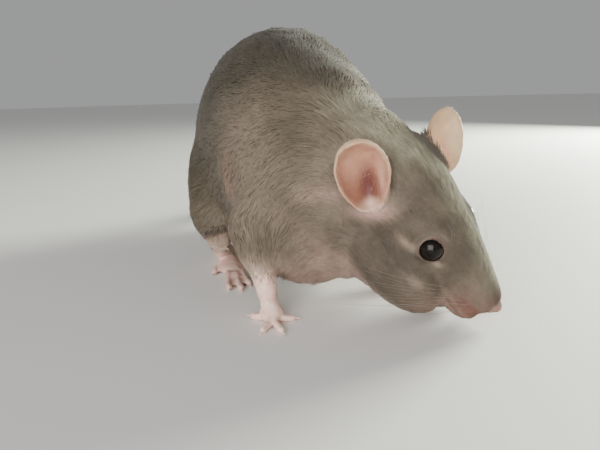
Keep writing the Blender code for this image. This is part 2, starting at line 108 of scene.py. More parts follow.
# How far a whisker may reach past the CAD box before it is drawn in
ROOM = 11
WRISTS = {
    "right": np.array([(46.5, -16.3, 17), (52.6, -15.8, 10), (56.0, -15.3, 5), (57.6, -15.1, 2)]),
    "left": np.array([(35, 32, 16), (40, 33.2, 9), (42.6, 33.5, 5), (44.4, 33.7, 2)]),
}
# The line down the neck where the rim light is painted on the coat as a highlight
NECK_HIGHLIGHT_LINE = np.array([(54, 11, 58.5), (63, 15, 53), (68, 20, 48)], float)
FLANK_CREASE = ((31.5, -24, 44), (33, -23, 36), (34.5, -22.5, 28), (37, -22, 20))
# Where the mouth opens on the seen side: a line, in the head's frame, painted as the gap's shade
MOUTH_GAP_SHADE = ((-7.4, 6.9, -0.3), (-5.4, 6.4, -0.5), (-3.9, 5.6, -0.9), (-2.2, 4.2, -1.6))
LIP_LINE = ((-8.2, 6.6, -2.2), (-6.4, 6.5, -2.0), (-4.4, 5.7, -2.2), (-2.6, 4.2, -2.5), (-1.4, 1.6, -2.8))

# Dark marks on both sides of the head: the place in its frame, the width and the strength
DARK_MARKS = (((-26.5, 14, 0.5), 7.0, 1.0), ((-15.5, 6.2, 7), 5.5, 0.85), ((-44, 13, -6), 9.0, 0.5))

# The camera stands before the rat's right shoulder, in the rat's frame
CAMERA_PLACE = (171.4, -30.3, 60.0)
CAMERA_HEADING = 78.0
CAMERA_PITCH = 16.0
CAMERA_ROLL = 1.55
CAMERA_LENS = 27.06

# An area light: its place and aim in metres, its size, power, colour and share of gloss
RIM_LIGHT = ((-0.20, 0.62, 0.20), (0.05, 0.02, 0.04), 0.26, 18.0, (0.95, 1.0, 0.86), 0.25)
KEY_LIGHT = ((0.62, -0.42, 0.20), (0.0, 0.0, 0.03), 0.55, 7.8, (1.0, 0.97, 0.93), 1.0)
SKY_COLOUR = (0.90, 0.91, 0.91, 1)
SKY_STRENGTH = 0.40
FLOOR_RADIUS = 6.0

# How far the flesh is pushed out before it is fused, the grain it is fused at, how fine its mesh is,
# how far its tail is filled out again and its folds are sunk, and the most triangles of any piece
SWELL = 0.35
SKIN_GRAIN = 0.45
SKIN_TRIANGLES = 150000
LONGEST_EDGE = 1.9
TAIL_SWELL = 0.25
CREASE_DEPTH = 0.9
MOUTH_DEPTH = 0.55
PIECE_LIMIT = 198000
TUFT_FLOOR = 0.03

# Where the back, the flank and the belly part, in degrees round the trunk from its top
BACK_EDGE = 50
BELLY_EDGE = 110
# Beyond this the belly grows only a share of its tufts, because the body hides it
SPARSE_EDGE = 125
SPARSE = 0.52
GROUPS = ("head", "trunk", "foreleg", "hindleg", "foot", "tail", "ear")
GROUP_OF = {
    "head": "head", "neck": "trunk", "torso": "trunk", "foreleg": "foreleg", "hindleg": "hindleg",
    "forefoot": "foot", "hindfoot": "foot", "tail": "tail", "ear": "ear",
}
FLESH = tuple(sorted(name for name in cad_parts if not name.startswith("eye")))
# How wide a tuft's own patch is on the unwrap
PATCH = 0.003


def tone(red, green, blue):
    """A colour named by its screen values from 0 to 255, as the numbers that light adds up in."""
    return np.array([((level / 255 + 0.055) / 1.055) ** 2.4 for level in (red, green, blue)])


COAT = tone(110, 100, 87)
# The back's coat darkened as painted shade, for the little light that falls on the top
COAT_BACK_SHADED = tone(76, 70, 58)
COAT_FLANK = tone(138, 124, 110)
COAT_BELLY = tone(170, 143, 130)
COAT_FACE = tone(103, 93, 82)
COAT_LIGHT = tone(164, 145, 129)
COAT_MUZZLE = tone(138, 114, 100)
# Painted highlight of the rim light on the hair: on the neck, the crown and the far ear's foot
COAT_PAINTED_HIGHLIGHT = tone(194, 190, 165)
COAT_CREASE = tone(160, 124, 110)
PINK = tone(214, 166, 152)
PINK_PALE = tone(236, 204, 190)
PINK_DEEP = tone(146, 66, 60)
NOSE_PINK = tone(162, 116, 102)
LIP = tone(122, 76, 68)
TAIL_SKIN = tone(158, 124, 112)
EAR_INSIDE = tone(194, 142, 119)
EAR_RIM = tone(206, 186, 150)
EAR_BACK = tone(214, 183, 144)
EAR_FOLD = tone(206, 160, 138)
# The ear canal's red skin, darkened as painted shade in its hollow
EAR_CANAL_SHADE = tone(100, 44, 41)
EAR_FOOT = tone(226, 180, 170)
HAIR_PALE = tone(212, 196, 176)


def axes(centre, out, up):
    """A frame at centre whose Z is out and whose Y is as near up as it can be."""
    out = Vector(out).normalized()
    across = Vector(up).cross(out).normalized()
    turned = Matrix((across, out.cross(across), out)).transposed().to_4x4()
    turned.translation = Vector(centre)
    return turned


def sided(point, side):
    return Vector((point[0], point[1] * side, point[2]))


def head_frame():
    """The frame of the head: x to the nose, z up out of the head."""
    turn = Matrix.Rotation(math.radians(HEAD_YAW), 4, "Z")
    turn = turn @ Matrix.Rotation(math.radians(HEAD_PITCH), 4, "Y")
    turn = turn @ Matrix.Rotation(math.radians(HEAD_ROLL), 4, "X")
    return Matrix.Translation(NOSE) @ turn @ Matrix.Scale(HEAD_SIZE, 4)


HEAD = head_frame()
EYE_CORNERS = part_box("eye_right")
MIDDLE = HEAD @ sided(EYE_PLACE, -1) - (EYE_CORNERS[0] + EYE_CORNERS[1]) / 2 / MM
TO_MODEL = Matrix.Scale(MM, 4) @ Matrix.Translation(-MIDDLE)


def head_way(vector):
    """A way in the head's frame, turned to the rat's."""
    return HEAD.to_3x3() @ Vector(vector)


def apply(matrix, points):
    """Moves an array of points by a 4 x 4 matrix."""
    m = np.array(matrix)
    return points @ m[:3, :3].T + m[:3, 3]


def unit(vectors):
    return vectors / np.maximum(np.linalg.norm(vectors, axis=1), 1e-9)[:, None]


def smooth_step(values, low, high):
    t = np.clip((values - low) / (high - low), 0, 1)
    return t * t * (3 - 2 * t)


def below(values, full, none):
    """1 where values are full or less, falling smoothly to 0 where they are none or more."""
    return smooth_step(-values, -none, -full)


def oval(*ways, power=1):
    """1 where every way is 0, falling off smoothly past 1. A higher power squares its edge."""
    return np.exp(-sum(way ** 2 for way in ways) ** power)


def bell(distance, width):
    return oval(distance / width)


def spot(points, place, width):
    return bell(np.linalg.norm(points - place, axis=1), width)


def mix(first, second, share):
    share = np.asarray(share)[:, None]
    return first * (1 - share) + second * share


def waves(points, length, seed, terms=7):
    """A value that wanders smoothly between about -1 and 1 over about length millimetres."""
    rng = np.random.default_rng(seed)
    ways = unit(rng.normal(size=(terms, 3))) * (2 * math.pi / length) * rng.uniform(0.7, 1.4, (terms, 1))
    return np.sin(points @ ways.T + rng.uniform(0, 6.28, terms)).sum(axis=1) / math.sqrt(terms)


def nearest_on_line(points, line):
    """For each point: its distance from a line of places, how far along it lies, and the line's way there."""
    line = np.asarray(line, float)
    best = np.full(len(points), 1e9)
    along = np.zeros(len(points))
    way = np.zeros((len(points), 3))
    run = 0.0
    for first, last in zip(line[:-1], line[1:]):
        step = last - first
        length = np.linalg.norm(step)
        t = np.clip((points - first) @ step / length ** 2, 0, 1)
        far = np.linalg.norm(points - first - t[:, None] * step, axis=1)
        near = far < best
        best[near] = far[near]
        along[near] = run + t[near] * length
        way[near] = step / length
        run += length
    return best, along, way


def from_line(points, line):
    return nearest_on_line(points, line)[0]


# Meshes

def plain_object(name, mesh):
    obj = bpy.data.objects.new(name, mesh)
    bpy.context.scene.collection.objects.link(obj)
    return obj


def finished(obj):
    """The mesh that obj's modifiers give, as an object of the same name with none."""
    shown = obj.evaluated_get(bpy.context.evaluated_depsgraph_get())
    mesh = bpy.data.meshes.new_from_object(shown)
    obj.modifiers.clear()
    obj.data = mesh
    return obj


def numbers(collection, key, width, kind=float):
    values = np.zeros(len(collection) * width, np.float32 if kind is float else np.int32)
    collection.foreach_get(key, values)
    return values.reshape(-1, width).astype(kind)


def write_colours(mesh, name, colours):
    layer = mesh.color_attributes.new(name, "FLOAT_COLOR", "POINT")
    layer.data.foreach_set("color", np.c_[colours, np.ones(len(colours))].astype(np.float32).ravel())


def write_value(mesh, name, values):
    mesh.attributes.new(name, "FLOAT", "POINT").data.foreach_set("value", np.asarray(values, np.float32))


def place_piece(obj, replaced=()):
    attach(obj, "root")
    if replaced:
        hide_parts(*replaced)


def mesh_piece(name, bm, material, replaced=(), held=None):
    """Makes bm one smooth piece. held is the name and the values of what its material reads."""
    mesh = bpy.data.meshes.new(name)
    bm.to_mesh(mesh)
    bm.free()
    if held:
        write_value(mesh, *held)
    mesh.shade_smooth()
    mesh.materials.append(material)
    place_piece(plain_object(name, mesh), replaced)


# The skin

def swollen_flesh():
    """All the flesh nodes in one mesh, each pushed out a little so that they run into each other."""
    bm = bmesh.new()
    for name in FLESH:
        part = bmesh.new()
        part.from_mesh(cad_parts[name].data)
        bmesh.ops.remove_doubles(part, verts=part.verts, dist=1e-6)
        part.normal_update()
        for vert in part.verts:
            vert.co += vert.normal * SWELL * MM
        mesh = bpy.data.meshes.new("part")
        part.to_mesh(mesh)
        part.free()
        bm.from_mesh(mesh)
        bpy.data.meshes.remove(mesh)
    mesh = bpy.data.meshes.new("skin")
    bm.to_mesh(mesh)
    bm.free()
    return plain_object("skin", mesh)


def fused_skin():
    """One closed surface round all the flesh, finest on the head and the feet."""
    skin = swollen_flesh()
    remesh = skin.modifiers.new("fuse", "REMESH")
    remesh.mode = "VOXEL"
    remesh.voxel_size = SKIN_GRAIN * MM
    finished(skin)
    points = apply(TO_MODEL.inverted(), numbers(skin.data.vertices, "co", 3))
    own = apply(HEAD.inverted(), points)
    fine = np.maximum(smooth_step(own[:, 0], -52, -34), 0.9 * (points[:, 2] < 8))
    thin = skin.modifiers.new("thin", "DECIMATE")
    thin.ratio = SKIN_TRIANGLES / (2 * len(skin.data.polygons))
    group = skin.vertex_groups.new(name="coarse")
    for level in range(11):
        chosen = np.flatnonzero(np.round(fine * 10) == level)
        group.add([int(i) for i in chosen], 1 - 0.085 * level, "REPLACE")
    thin.vertex_group = "coarse"
    thin.vertex_group_factor = 1.0
    finished(skin)
    skin.vertex_groups.clear()
    keep_largest(skin.data)
    refine(skin.data, LONGEST_EDGE)
    return skin


def refine(mesh, longest):
    """Splits the longer edges, with each new point on the round between its neighbours."""
    for _ in range(3):
        bm = bmesh.new()
        bm.from_mesh(mesh)
        bm.normal_update()
        edges = [edge for edge in bm.edges if edge.calc_length() > longest * MM]
        bmesh.ops.subdivide_edges(bm, edges=edges, cuts=1, smooth=1.0, smooth_falloff="LINEAR")
        bmesh.ops.triangulate(bm, faces=[face for face in bm.faces if len(face.verts) > 3])
        bm.to_mesh(mesh)
        bm.free()


def keep_largest(mesh):
    """Drops every closed surface of mesh but the largest, and leaves only triangles."""
    bm = bmesh.new()
    bm.from_mesh(mesh)
    bmesh.ops.triangulate(bm, faces=bm.faces)
    bm.verts.ensure_lookup_table()
    seen = np.zeros(len(bm.verts), bool)
    shells = []
    for start in bm.verts:
        if seen[start.index]:
            continue
        seen[start.index] = True
        shell, edge = [start], [start]
        while edge:
            for link in edge.pop().link_edges:
                for vert in link.verts:
                    if not seen[vert.index]:
                        seen[vert.index] = True
                        shell.append(vert)
                        edge.append(vert)
        shells.append(shell)
    shells.sort(key=len)
    bmesh.ops.delete(bm, geom=[vert for shell in shells[:-1] for vert in shell], context="VERTS")
    bm.to_mesh(mesh)
    bm.free()


class Hide:
    """The skin's points and what is known at each: its normal, its part of the body and the coat's way."""

    def __init__(self, obj):
        self.obj = obj
        mesh = obj.data
        self.points = apply(TO_MODEL.inverted(), numbers(mesh.vertices, "co", 3))
        self.edges = numbers(mesh.edges, "vertices", 2, int)
        self.corners = numbers(mesh.polygons, "vertices", 3, int)
        self.degree = np.bincount(self.edges.ravel(), minlength=len(self.points))
        length = np.linalg.norm(self.points[self.edges[:, 0]] - self.points[self.edges[:, 1]], axis=1)
        total = sum(np.bincount(self.edges[:, k], length, len(self.points)) for k in range(2))
        self.pace = 0.7 * np.minimum(1, (0.45 * self.degree / np.maximum(total, 1e-6)) ** 2)[:, None]
        self.refresh()
        sharp = self.parts()
        self.sharp = self.spread(sharp, 3)
        self.soft = self.spread(sharp, 110)

    def refresh(self):
        """Works out the normals and the places in the head's frame again."""
        a, b, c = (self.points[self.corners[:, k]] for k in range(3))
        face = np.cross(b - a, c - a)
        self.area = np.linalg.norm(face, axis=1) / 2
        total = np.zeros_like(self.points)
        for k in range(3):
            for axis in range(3):
                total[:, axis] += np.bincount(self.corners[:, k], face[:, axis], len(self.points))
        self.normals = unit(total)
        self.head = apply(HEAD.inverted(), self.points)

    @property
    def height(self):
        return self.points[:, 2]

    def raise_by(self, amount):
        """Moves each point out along its normal."""
        self.points += self.normals * amount[:, None]

    def on_faces(self, values):
        """The mean of values at each face's corners."""
        return values[self.corners].mean(axis=1)

    def faces_of(self, group):
        """Which faces lie on one part of the body."""
        return self.on_faces(self.sharp)[:, GROUPS.index(group)] > 0.5

    def bends(self):
        """How much the skin curves away along the lie of the coat: one over the radius there."""
        first, last = self.edges.T
        step = self.points[last] - self.points[first]
        way = self.flow[first] + self.flow[last]
        run = (step * way).sum(axis=1)
        turn = ((self.normals[last] - self.normals[first]) * way).sum(axis=1) * run
        count = len(self.points)
        both = [np.bincount(first, part, count) + np.bincount(last, part, count) for part in (turn, run ** 2)]
        turned, ran = self.soften(np.stack(both, axis=1), 24).T
        return turned / np.maximum(ran, 1e-6)

    def around(self, values):
        """The mean of each point's neighbours."""
        first, last = self.edges.T
        out = np.empty_like(values)
        for k in range(values.shape[1]):
            total = np.bincount(first, values[last, k], len(values))
            total += np.bincount(last, values[first, k], len(values))
            out[:, k] = total / np.maximum(self.degree, 1)
        return out

    def spread(self, values, times, share=0.7):
        """Evens values out over the skin: each time, every point takes a share of its neighbours' mean."""
        flat = values.ndim == 1
        values = values[:, None] if flat else values
        for _ in range(times):
            values = values * (1 - share) + self.around(values) * share
        return values[:, 0] if flat else values

    def soften(self, values, times):
        """Evens values out over about 0.37 mm times the root of times, however close the points stand."""
        return self.spread(values, times, self.pace)

    def parts(self):
        """Which part of the body each point is on, as a column of ones and zeros for each of GROUPS."""
        verts, faces, owner = [], [], []
        for name in FLESH:
            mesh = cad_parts[name].data
            start = len(verts)
            verts += [tuple(v.co) for v in mesh.vertices]
            faces += [tuple(start + i for i in p.vertices) for p in mesh.polygons]
            owner += [GROUPS.index(GROUP_OF[name.split("_")[0]])] * len(mesh.polygons)
        tree = BVHTree.FromPolygons(verts, faces)
        out = np.zeros((len(self.points), len(GROUPS)))
        for i, point in enumerate(apply(TO_MODEL, self.points)):
            out[i, owner[tree.find_nearest(point)[2]]] = 1
        return out

    def share(self, group, soft=False):
        return (self.soft if soft else self.sharp)[:, GROUPS.index(group)]

    def write_back(self):
        self.obj.data.vertices.foreach_set("co", apply(TO_MODEL, self.points).astype(np.float32).ravel())
        self.obj.data.update()


def eye_centre(name):
    return np.array(HEAD @ sided(EYE_PLACE, SIDES[name]))


def from_eyes(points):
    """Each point's distance from the nearer eye's centre."""
    return np.min([np.linalg.norm(points - eye_centre(name), axis=1) for name in SIDES], axis=0)


def eye_places(points, name):
    """Places round one eye: forward on the face, up on it, and out of the ball, from its centre."""
    side = SIDES[name]
    turned = axes(HEAD @ sided(EYE_PLACE, side), head_way(sided(EYE_LOOK, side)), head_way(UP))
    return apply(turned.inverted(), points) * (-side, 1, 1), turned


def draw_lids(hide):
    """Lays the rim of the lids on the eyeball."""
    for name, side in SIDES.items():
        place, turned = eye_places(hide.points, name)
        out = np.linalg.norm(place[:, :2], axis=1)
        near = bell(out - LID_RIM, 0.75) * smooth_step(place[:, 2], 0.2, 1.0)
        near *= np.linalg.norm(place, axis=1) < 6
        flat = place.copy()
        flat[:, :2] *= 1 + near[:, None] * LID_STRETCH
        ball = EYE_SIZE + LID_THICKNESS + 0.5 * np.clip(out - 3.1, 0, 1)
        flat[:, 2] = np.sqrt(np.clip(ball ** 2 - (flat[:, :2] ** 2).sum(axis=1), 0.05, None))
        flat = place * (1 - near)[:, None] + flat * near[:, None]
        hide.points = apply(turned, flat * (-side, 1, 1))


def round_toes(hide):
    """Gives each toe an even thickness and a blunt end."""
    near_floor = below(hide.height, 2.4, 3.2) * hide.share("foot")
    for name, toes in toe_ends().items():
        thick = TOE_THICKNESS[name.split("_")[0]]
        for place, angle, length in toes:
            way = np.array((math.cos(angle), math.sin(angle), 0))
            axis = np.array(place) + (0, 0, thick + 0.02)
            run = (hide.points - axis) @ way
            centre = axis + np.clip(run, -length * 0.62, -0.5)[:, None] * way
            off = hide.points - centre
            far = np.linalg.norm(off, axis=1)
            grip = near_floor * smooth_step(run, -length * 0.72, -length * 0.5) * below(far, 1.5, 2.2)
            grip = 0.85 * grip[:, None]
            knuckle = 1 + 0.14 * bell(run + length * 0.42, 0.7) + 0.08 * bell(run + 0.9, 0.6)
            rounded = centre + off / np.maximum(far, 1e-6)[:, None] * (thick * knuckle)[:, None]
            rounded[:, 2] = np.maximum(rounded[:, 2], 0.02)
            hide.points = hide.points * (1 - grip) + rounded * grip


def coat_depth(hide):
    """How deep the coat is over each point of the skin."""
    height = hide.height
    arm, foot, head = hide.share("foreleg"), hide.share("foot"), hide.share("head", soft=True)
    trunk = 1.5 - 0.3 * below(height, 8, 22)
    face = np.interp(hide.head[:, 0], (-46, -30, -18, -9, -3), (1.4, 1.0, 0.7, 0.35, 0.05))
    depth = trunk * (1 - head) + face * head
    depth *= 1 - 1.1 * foot
    depth *= 1 - 0.7 * arm * below(height, 11, 17)
    depth -= 0.45 * np.maximum(arm, foot) * below(height, 7, 9) * smooth_step(height, 2.6, 3.6)
    depth *= (1 - hide.share("tail")) * (1 - hide.share("ear"))
    depth *= 0.1 + 0.9 * smooth_step(from_eyes(hide.points), 4.6, 8)
    return hide.spread(depth, 6)


def ear_marks(place, front):
    """Where the rim, the canal, the fold before it and the foot of an ear are, from places in it."""
    across, up = place[:, 0] * front, place[:, 1] / EAR_LENGTH
    lean = 2.4 * (up - 0.3)
    rim = smooth_step(np.sqrt((across / (EAR_WIDTH / 2)) ** 2 + ((up - 0.5) / 0.5) ** 2), 0.72, 1.0)
    canal = oval((across - 0.9 - lean) / 2.2, (up - 0.27) / 0.29, power=1.3)
    fold = oval(across - 4.0 - lean, (up - 0.38) / 0.24)
    return rim, canal, fold, below(up, 0.03, 0.16)


def sculpt_ears(hide):
    """Rolls the rim of each ear, sinks its canal and raises the fold before it."""
    first = nearer_ear(hide.points)
    for name, side in SIDES.items():
        own = hide.share("ear") * (first if name == "left" else ~first)
        place, turned = ear_places(hide.points, name)
        facing = hide.normals @ np.array(turned.to_3x3())[:, 2]
        inside = smooth_step(facing, 0.1, 0.5) * below(np.abs(place[:, 0]), 6.5, 7.5)
        rim, canal, fold, _ = ear_marks(place, -side)
        ridges = 0.10 * np.sin(place[:, 1] * 1.9) * smooth_step(place[:, 1], 8, 12) * (1 - rim)
        move = inside * (0.75 * fold - 0.7 * canal + ridges) + 0.16 * rim
        hide.raise_by(own * move)
        hide.points += (np.array(turned.translation) - hide.points) * (0.06 * own)[:, None]
    hide.refresh()


def mouth_line():
    half = [Vector(p) for p in MOUTH]
    return [HEAD @ sided(p, -1) for p in reversed(half[1:])] + [HEAD @ p for p in half]


def seams(hide):
    """Where two parts of the flesh meet, ears apart."""
    sharp = hide.sharp[:, :-1]
    meet = hide.soften(4 * (sharp * (sharp.sum(axis=1)[:, None] - sharp)).sum(axis=1), 30)
    return smooth_step(meet, 0.05, 0.20) * (1 - smooth_step(hide.share("ear"), 0, 0.1))


def joints(hide):
    """The wrists and the ankles."""
    limb = hide.share("foreleg") + hide.share("hindleg") + hide.share("foot")
    return limb.clip(0, 1) * smooth_step(hide.height, 2.8, 4.0) * below(hide.height, 11, 17)


def round_wrists(hide):
    """Makes each forearm and wrist one slim round form down to the palm."""
    height = hide.height
    part = (hide.share("foreleg") + hide.share("foot")).clip(0, 1)
    want = np.interp(height, (2.6, 5, 8, 12, 16), (2.9, 2.75, 3.0, 3.5, 4.6))
    reach = smooth_step(height, 2.6, 4.4) * below(height, 11, 15)
    for line in WRISTS.values():
        far, along, _ = nearest_on_line(hide.points, line)
        runs = np.concatenate([[0], np.cumsum(np.linalg.norm(np.diff(line, axis=0), axis=1))])
        axis = np.stack([np.interp(along, runs, line[:, k]) for k in range(3)], axis=1)
        move = (want - far) * 0.75 * (reach * below(far, 5, 6.5) * part) / np.maximum(far, 1e-6)
        hide.points = hide.points + (hide.points - axis) * move[:, None]


def sculpt(hide):
    """Moves the skin's points: in by the coat's depth, then the folds of the mouth, nose, lids and ears."""
    hide.points = hide.spread(hide.points, 2, 0.5)
    tail = smooth_step(hide.share("tail"), 0.0, 0.5)
    fair = np.maximum.reduce([tail, seams(hide), joints(hide)])[:, None]
    hide.points = hide.points * (1 - fair) + hide.soften(hide.points, 40) * fair
    hide.refresh()
    hide.raise_by(TAIL_SWELL * tail)
    hide.raise_by(-(SWELL + coat_depth(hide)))
    hide.refresh()
    own = hide.head
    hide.raise_by(-MOUTH_DEPTH * bell(from_line(hide.points, mouth_line()), 0.8) * hide.share("head"))
    hide.points -= np.array(head_way((0.8, 0, 0.1))) * nostrils(own, 1.0)[:, None]
    round_wrists(hide)
    sculpt_ears(hide)
    draw_lids(hide)
    round_toes(hide)
    hide.raise_by(-CREASE_DEPTH * bell(from_line(hide.points, FLANK_CREASE), 1.6))
    cleft = bell(own[:, 1], 0.45) * smooth_step(own[:, 0], -6, -2) * below(own[:, 2], -1.8, -0.6)
    hide.raise_by(-0.35 * cleft)
    pads = oval((own[:, 0] + 9) / 5, (own[:, 2] + 2.4) / 3.6, power=2) * (np.abs(own[:, 1]) > 3)
    rows = np.sin(own[:, 2] * 2.9 + own[:, 0] * 0.5)
    hide.raise_by(0.16 * pads * rows * hide.share("head"))
    hide.points[:, 2] = np.maximum(hide.height, 0.01)
    hide.refresh()


# Colours of the skin and the coat

def trunk_marks(hide, patch):
    """The trunk's coat colour: back and rump darkened as painted shade, paler before the flank, palest below.
    """
    p, height = hide.points, hide.height
    pale = smooth_step(p[:, 0], 22, 38) * below(height, 50, 66) * (0.6 + 0.4 * patch)
    pale *= 0.5 + 0.5 * smooth_step(height, 18, 30)
    pale *= 1 - 0.7 * spot(p, (48, -3, 52), 11)
    colour = mix(np.tile(COAT, (len(p), 1)), COAT_FLANK, 0.75 * pale)
    # Painted shade: the top of the back and the rump darker, where less light falls
    top = smooth_step(height, 55, 74)
    side = below(p[:, 0], 8, 32) * smooth_step(height, 12, 34)
    colour = mix(colour, COAT_BACK_SHADED, np.clip(0.95 * top + 0.75 * side, 0, 0.97))
    colour = mix(colour, COAT * 0.7, 0.8 * spot(p, (52, -4, 52), 8))
    colour = mix(colour, COAT_BELLY, below(height, 8, 19))
    return mix(colour, COAT_CREASE, 0.85 * bell(from_line(p, FLANK_CREASE), 2.0))


def eye_mark(place, x, y, wide, tall):
    """An oval mark on the face, by its place from the eye."""
    return oval((place[:, 0] - x) / wide, (place[:, 1] - y) / tall) * (np.abs(place[:, 2]) < 8)


def face_marks(hide, patch):
    """The head's coat colour: dark cheeks, pale muzzle and throat, pink lips, a crown paler partly by painted
    highlight.
    """
    p, own = hide.points, hide.head
    along, over = own[:, 0], own[:, 2]
    face = mix(np.tile(COAT_FACE, (len(p), 1)), COAT_FLANK, 0.5 * below(over, -10, 2) * patch)
    face = mix(face, COAT_FLANK, 0.5 * below(along, -46, -30) * below(over, -4, 8))
    face *= (1 + 0.10 * waves(own, 7, 31) + 0.06 * waves(own, 3, 32))[:, None]
    mirrored = own * (1, 0, 1) + np.abs(own) * (0, 1, 0)
    for place, width, strength in DARK_MARKS:
        face = mix(face, COAT_FACE * 0.72, strength * spot(mirrored, place, width))
    face = mix(face, COAT_MUZZLE, smooth_step(along, -19, -8) * below(over, -3, 2.5))
    face = mix(face, COAT_FLANK, 0.7 * spot(mirrored, (-7, 3, 4.2), 4))
    face = mix(face, COAT_BELLY, 0.8 * below(over, -14, -8))
    # The crown paler along its middle: partly its own tone, partly a painted highlight of the rim light
    crown = bell(own[:, 1] - 1.5, 3.2) * smooth_step(over, 1, 5) * below(along, -8, -2)
    face = mix(face, COAT_PAINTED_HIGHLIGHT, 0.55 * crown * (0.8 + 0.4 * waves(own, 2.4, 9)).clip(0.2, 1))
    lip = from_line(np.abs(own) * (-1, 1, -1), LIP_LINE)
    face = mix(face, NOSE_PINK * 0.7, 0.35 * bell(lip, 2.2))
    face = mix(face, LIP * 0.7, 0.7 * bell(lip, 0.8) * (over < 0))
    # Painted shade of the mouth's gap, in the lips' colour
    face = mix(face, LIP, 0.6 * bell(from_line(mirrored, MOUTH_GAP_SHADE), 0.9))
    feet = {side: ear_places(p, name)[0] for name, side in SIDES.items()}
    bare = [oval((foot[:, 0] * -side - 0.5) / 4.5, (foot[:, 1] + 0.8) / 2.0) for side, foot in feet.items()]
    face = mix(face, EAR_FOOT, 0.95 * np.max(bare, axis=0))
    for name in SIDES:
        place, _ = eye_places(p, name)
        corners = 0.75 * eye_mark(place, -5.2, -2.6, 2.4, 1.2) + 0.8 * eye_mark(place, 4.0, -2.3, 1.5, 1.0)
        face = mix(face, COAT_LIGHT, corners)
        face = mix(face, COAT_LIGHT, 0.55 * eye_mark(place, 3.3, -9.4, 3.0, 0.9))
        face = mix(face, COAT_BACK_SHADED, 0.5 * eye_mark(place, 8.3, -9.1, 2.6, 2.0))
    # Painted light on the coat at the far ear's foot, which lifts the shade there
    return mix(face, COAT_PAINTED_HIGHLIGHT, 0.75 * spot(feet[SIDES["left"]], (0, 1, 0), 6))


def markings(hide):
    """The coat's colour at each point of the skin."""
    p, height = hide.points, hide.height
    arm, leg = hide.share("foreleg", soft=True), hide.share("hindleg", soft=True)
    patch = 0.5 + 0.5 * waves(p, 30, 5)
    colour = mix(trunk_marks(hide, patch), face_marks(hide, patch), hide.share("head", soft=True))
    # Painted highlight of the rim light along the neck
    nape = bell(from_line(p, NECK_HIGHLIGHT_LINE), 6) * (0.8 + 0.35 * waves(p, 5, 8)).clip(0.3, 1)
    colour = mix(colour, COAT_PAINTED_HIGHLIGHT, 0.72 * nape)
    colour = mix(colour, COAT * 0.8, 0.6 * spot(p, (51.6, -12.5, 22), 7))
    colour = mix(colour, COAT_LIGHT * 1.35, np.clip(arm * 1.3, 0, 1) * below(height, 12, 20))
    colour = mix(colour, COAT_LIGHT * 1.2, leg * below(height, 11, 19))
    low = smooth_step(hide.share("foot", soft=True), 0.12, 0.5)
    low = np.maximum(low, smooth_step(leg, 0.15, 0.4) * below(height, 6.5, 9.5))
    colour = mix(colour, PINK_PALE * 0.66, low * below(p[:, 0], 30, 35))
    return colour * (1 + 0.06 * waves(p, 9, 6) + 0.04 * waves(p, 3.5, 7))[:, None]


def ear_places(points, name):
    """Places in one ear: across it, up from its foot to its tip, and out of its cup."""
    foot, up, opening = (Vector(row) for row in EARS[name])
    turned = axes(HEAD @ foot, head_way(opening), head_way(up))
    return apply(turned.inverted(), points), turned


def nearer_ear(points):
    first, second = (np.linalg.norm(ear_places(points, name)[0] - (0, 10, 0), axis=1) for name in SIDES)
    return first < second


def skin_colours(hide, fur):
    """The skin's own colour: the coat's, deeper, with bare pink where no hair grows."""
    p, own, head = hide.points, hide.head, hide.share("head")
    foot = mix(np.tile(PINK, (len(p), 1)), PINK_PALE, 0.5 + 0.5 * smooth_step(waves(p, 4, 11), -0.4, 1.0))
    foot = foot * (0.86 + 0.42 * smooth_step(p[:, 0], 30, 45))[:, None]
    bare = np.maximum(hide.share("foot"), hide.share("foreleg") * below(hide.height, 12, 15))
    colour = mix(fur * 0.86, foot, smooth_step(bare, 0.15, 0.8))
    colour = mix(colour, TAIL_SKIN, smooth_step(hide.share("tail"), 0.15, 0.8))
    nose = np.exp(-np.linalg.norm((own - (-0.6, 0, 0)) / (2.2, 2.7, 2.0), axis=1) ** 4)
    colour = mix(colour, NOSE_PINK, nose)
    colour = mix(colour, PINK_DEEP * 0.25, nostrils(own, 1.2))
    colour = mix(colour, LIP, bell(from_line(p, mouth_line()), 1.5) * head)
    colour = mix(colour, COAT_MUZZLE * 0.55, bell(from_eyes(p) - EYE_SIZE - 0.2, 0.35) * head)
    for name in SIDES:
        place, _ = eye_places(p, name)
        corner = oval((place[:, 0] - 3.7) / 0.75, (place[:, 1] + 1.0) / 0.6) * (place[:, 2] > 0)
        colour = mix(colour, EAR_CANAL_SHADE * 0.1, corner)
    return mix(colour, ear_colours(hide), smooth_step(hide.share("ear"), 0.2, 0.7))


def nostrils(own, wide):
    """Where the two comma-shaped nostrils are, from places in the head's frame."""
    both = [(own - (0.0, 1.3 * s, -0.1)) / (wide, 0.55 * wide, 0.6 * wide) for s in (1, -1)]
    return np.max([np.exp(-((place ** 2).sum(axis=1)) ** 1.5) for place in both], axis=0)


def ear_colours(hide):
    """The ears' colours: a pale rim, a pink cup and red canal deepened by painted shade, and a pale back."""
    p = hide.points
    first = nearer_ear(p)
    out = np.zeros((len(p), 3))
    for name, side in SIDES.items():
        place, turned = ear_places(p, name)
        inside = smooth_step(hide.normals @ np.array(turned.to_3x3())[:, 2], -0.1, 0.4)
        rim, canal, fold, low = ear_marks(place, -side)
        colour = mix(np.tile(EAR_BACK, (len(p), 1)), EAR_INSIDE, inside)
        # Painted shade low in the cup
        colour = mix(colour, EAR_CANAL_SHADE, 0.35 * inside * below(place[:, 1], 5, 13) * (1 - rim))
        colour = mix(colour, EAR_FOLD, 0.8 * fold)
        # The canal in painted shade over its red skin
        colour = mix(colour, EAR_CANAL_SHADE, inside * canal)
        colour = mix(colour, PINK_PALE, low)
        colour = mix(colour, EAR_RIM, 0.9 * rim * (0.35 + 0.65 * smooth_step(place[:, 1], 4, 14)))
        own = first if name == "left" else ~first
        out[own] = colour[own]
    return out * (1 + 0.05 * waves(p, 3, 21))[:, None]


# The coat

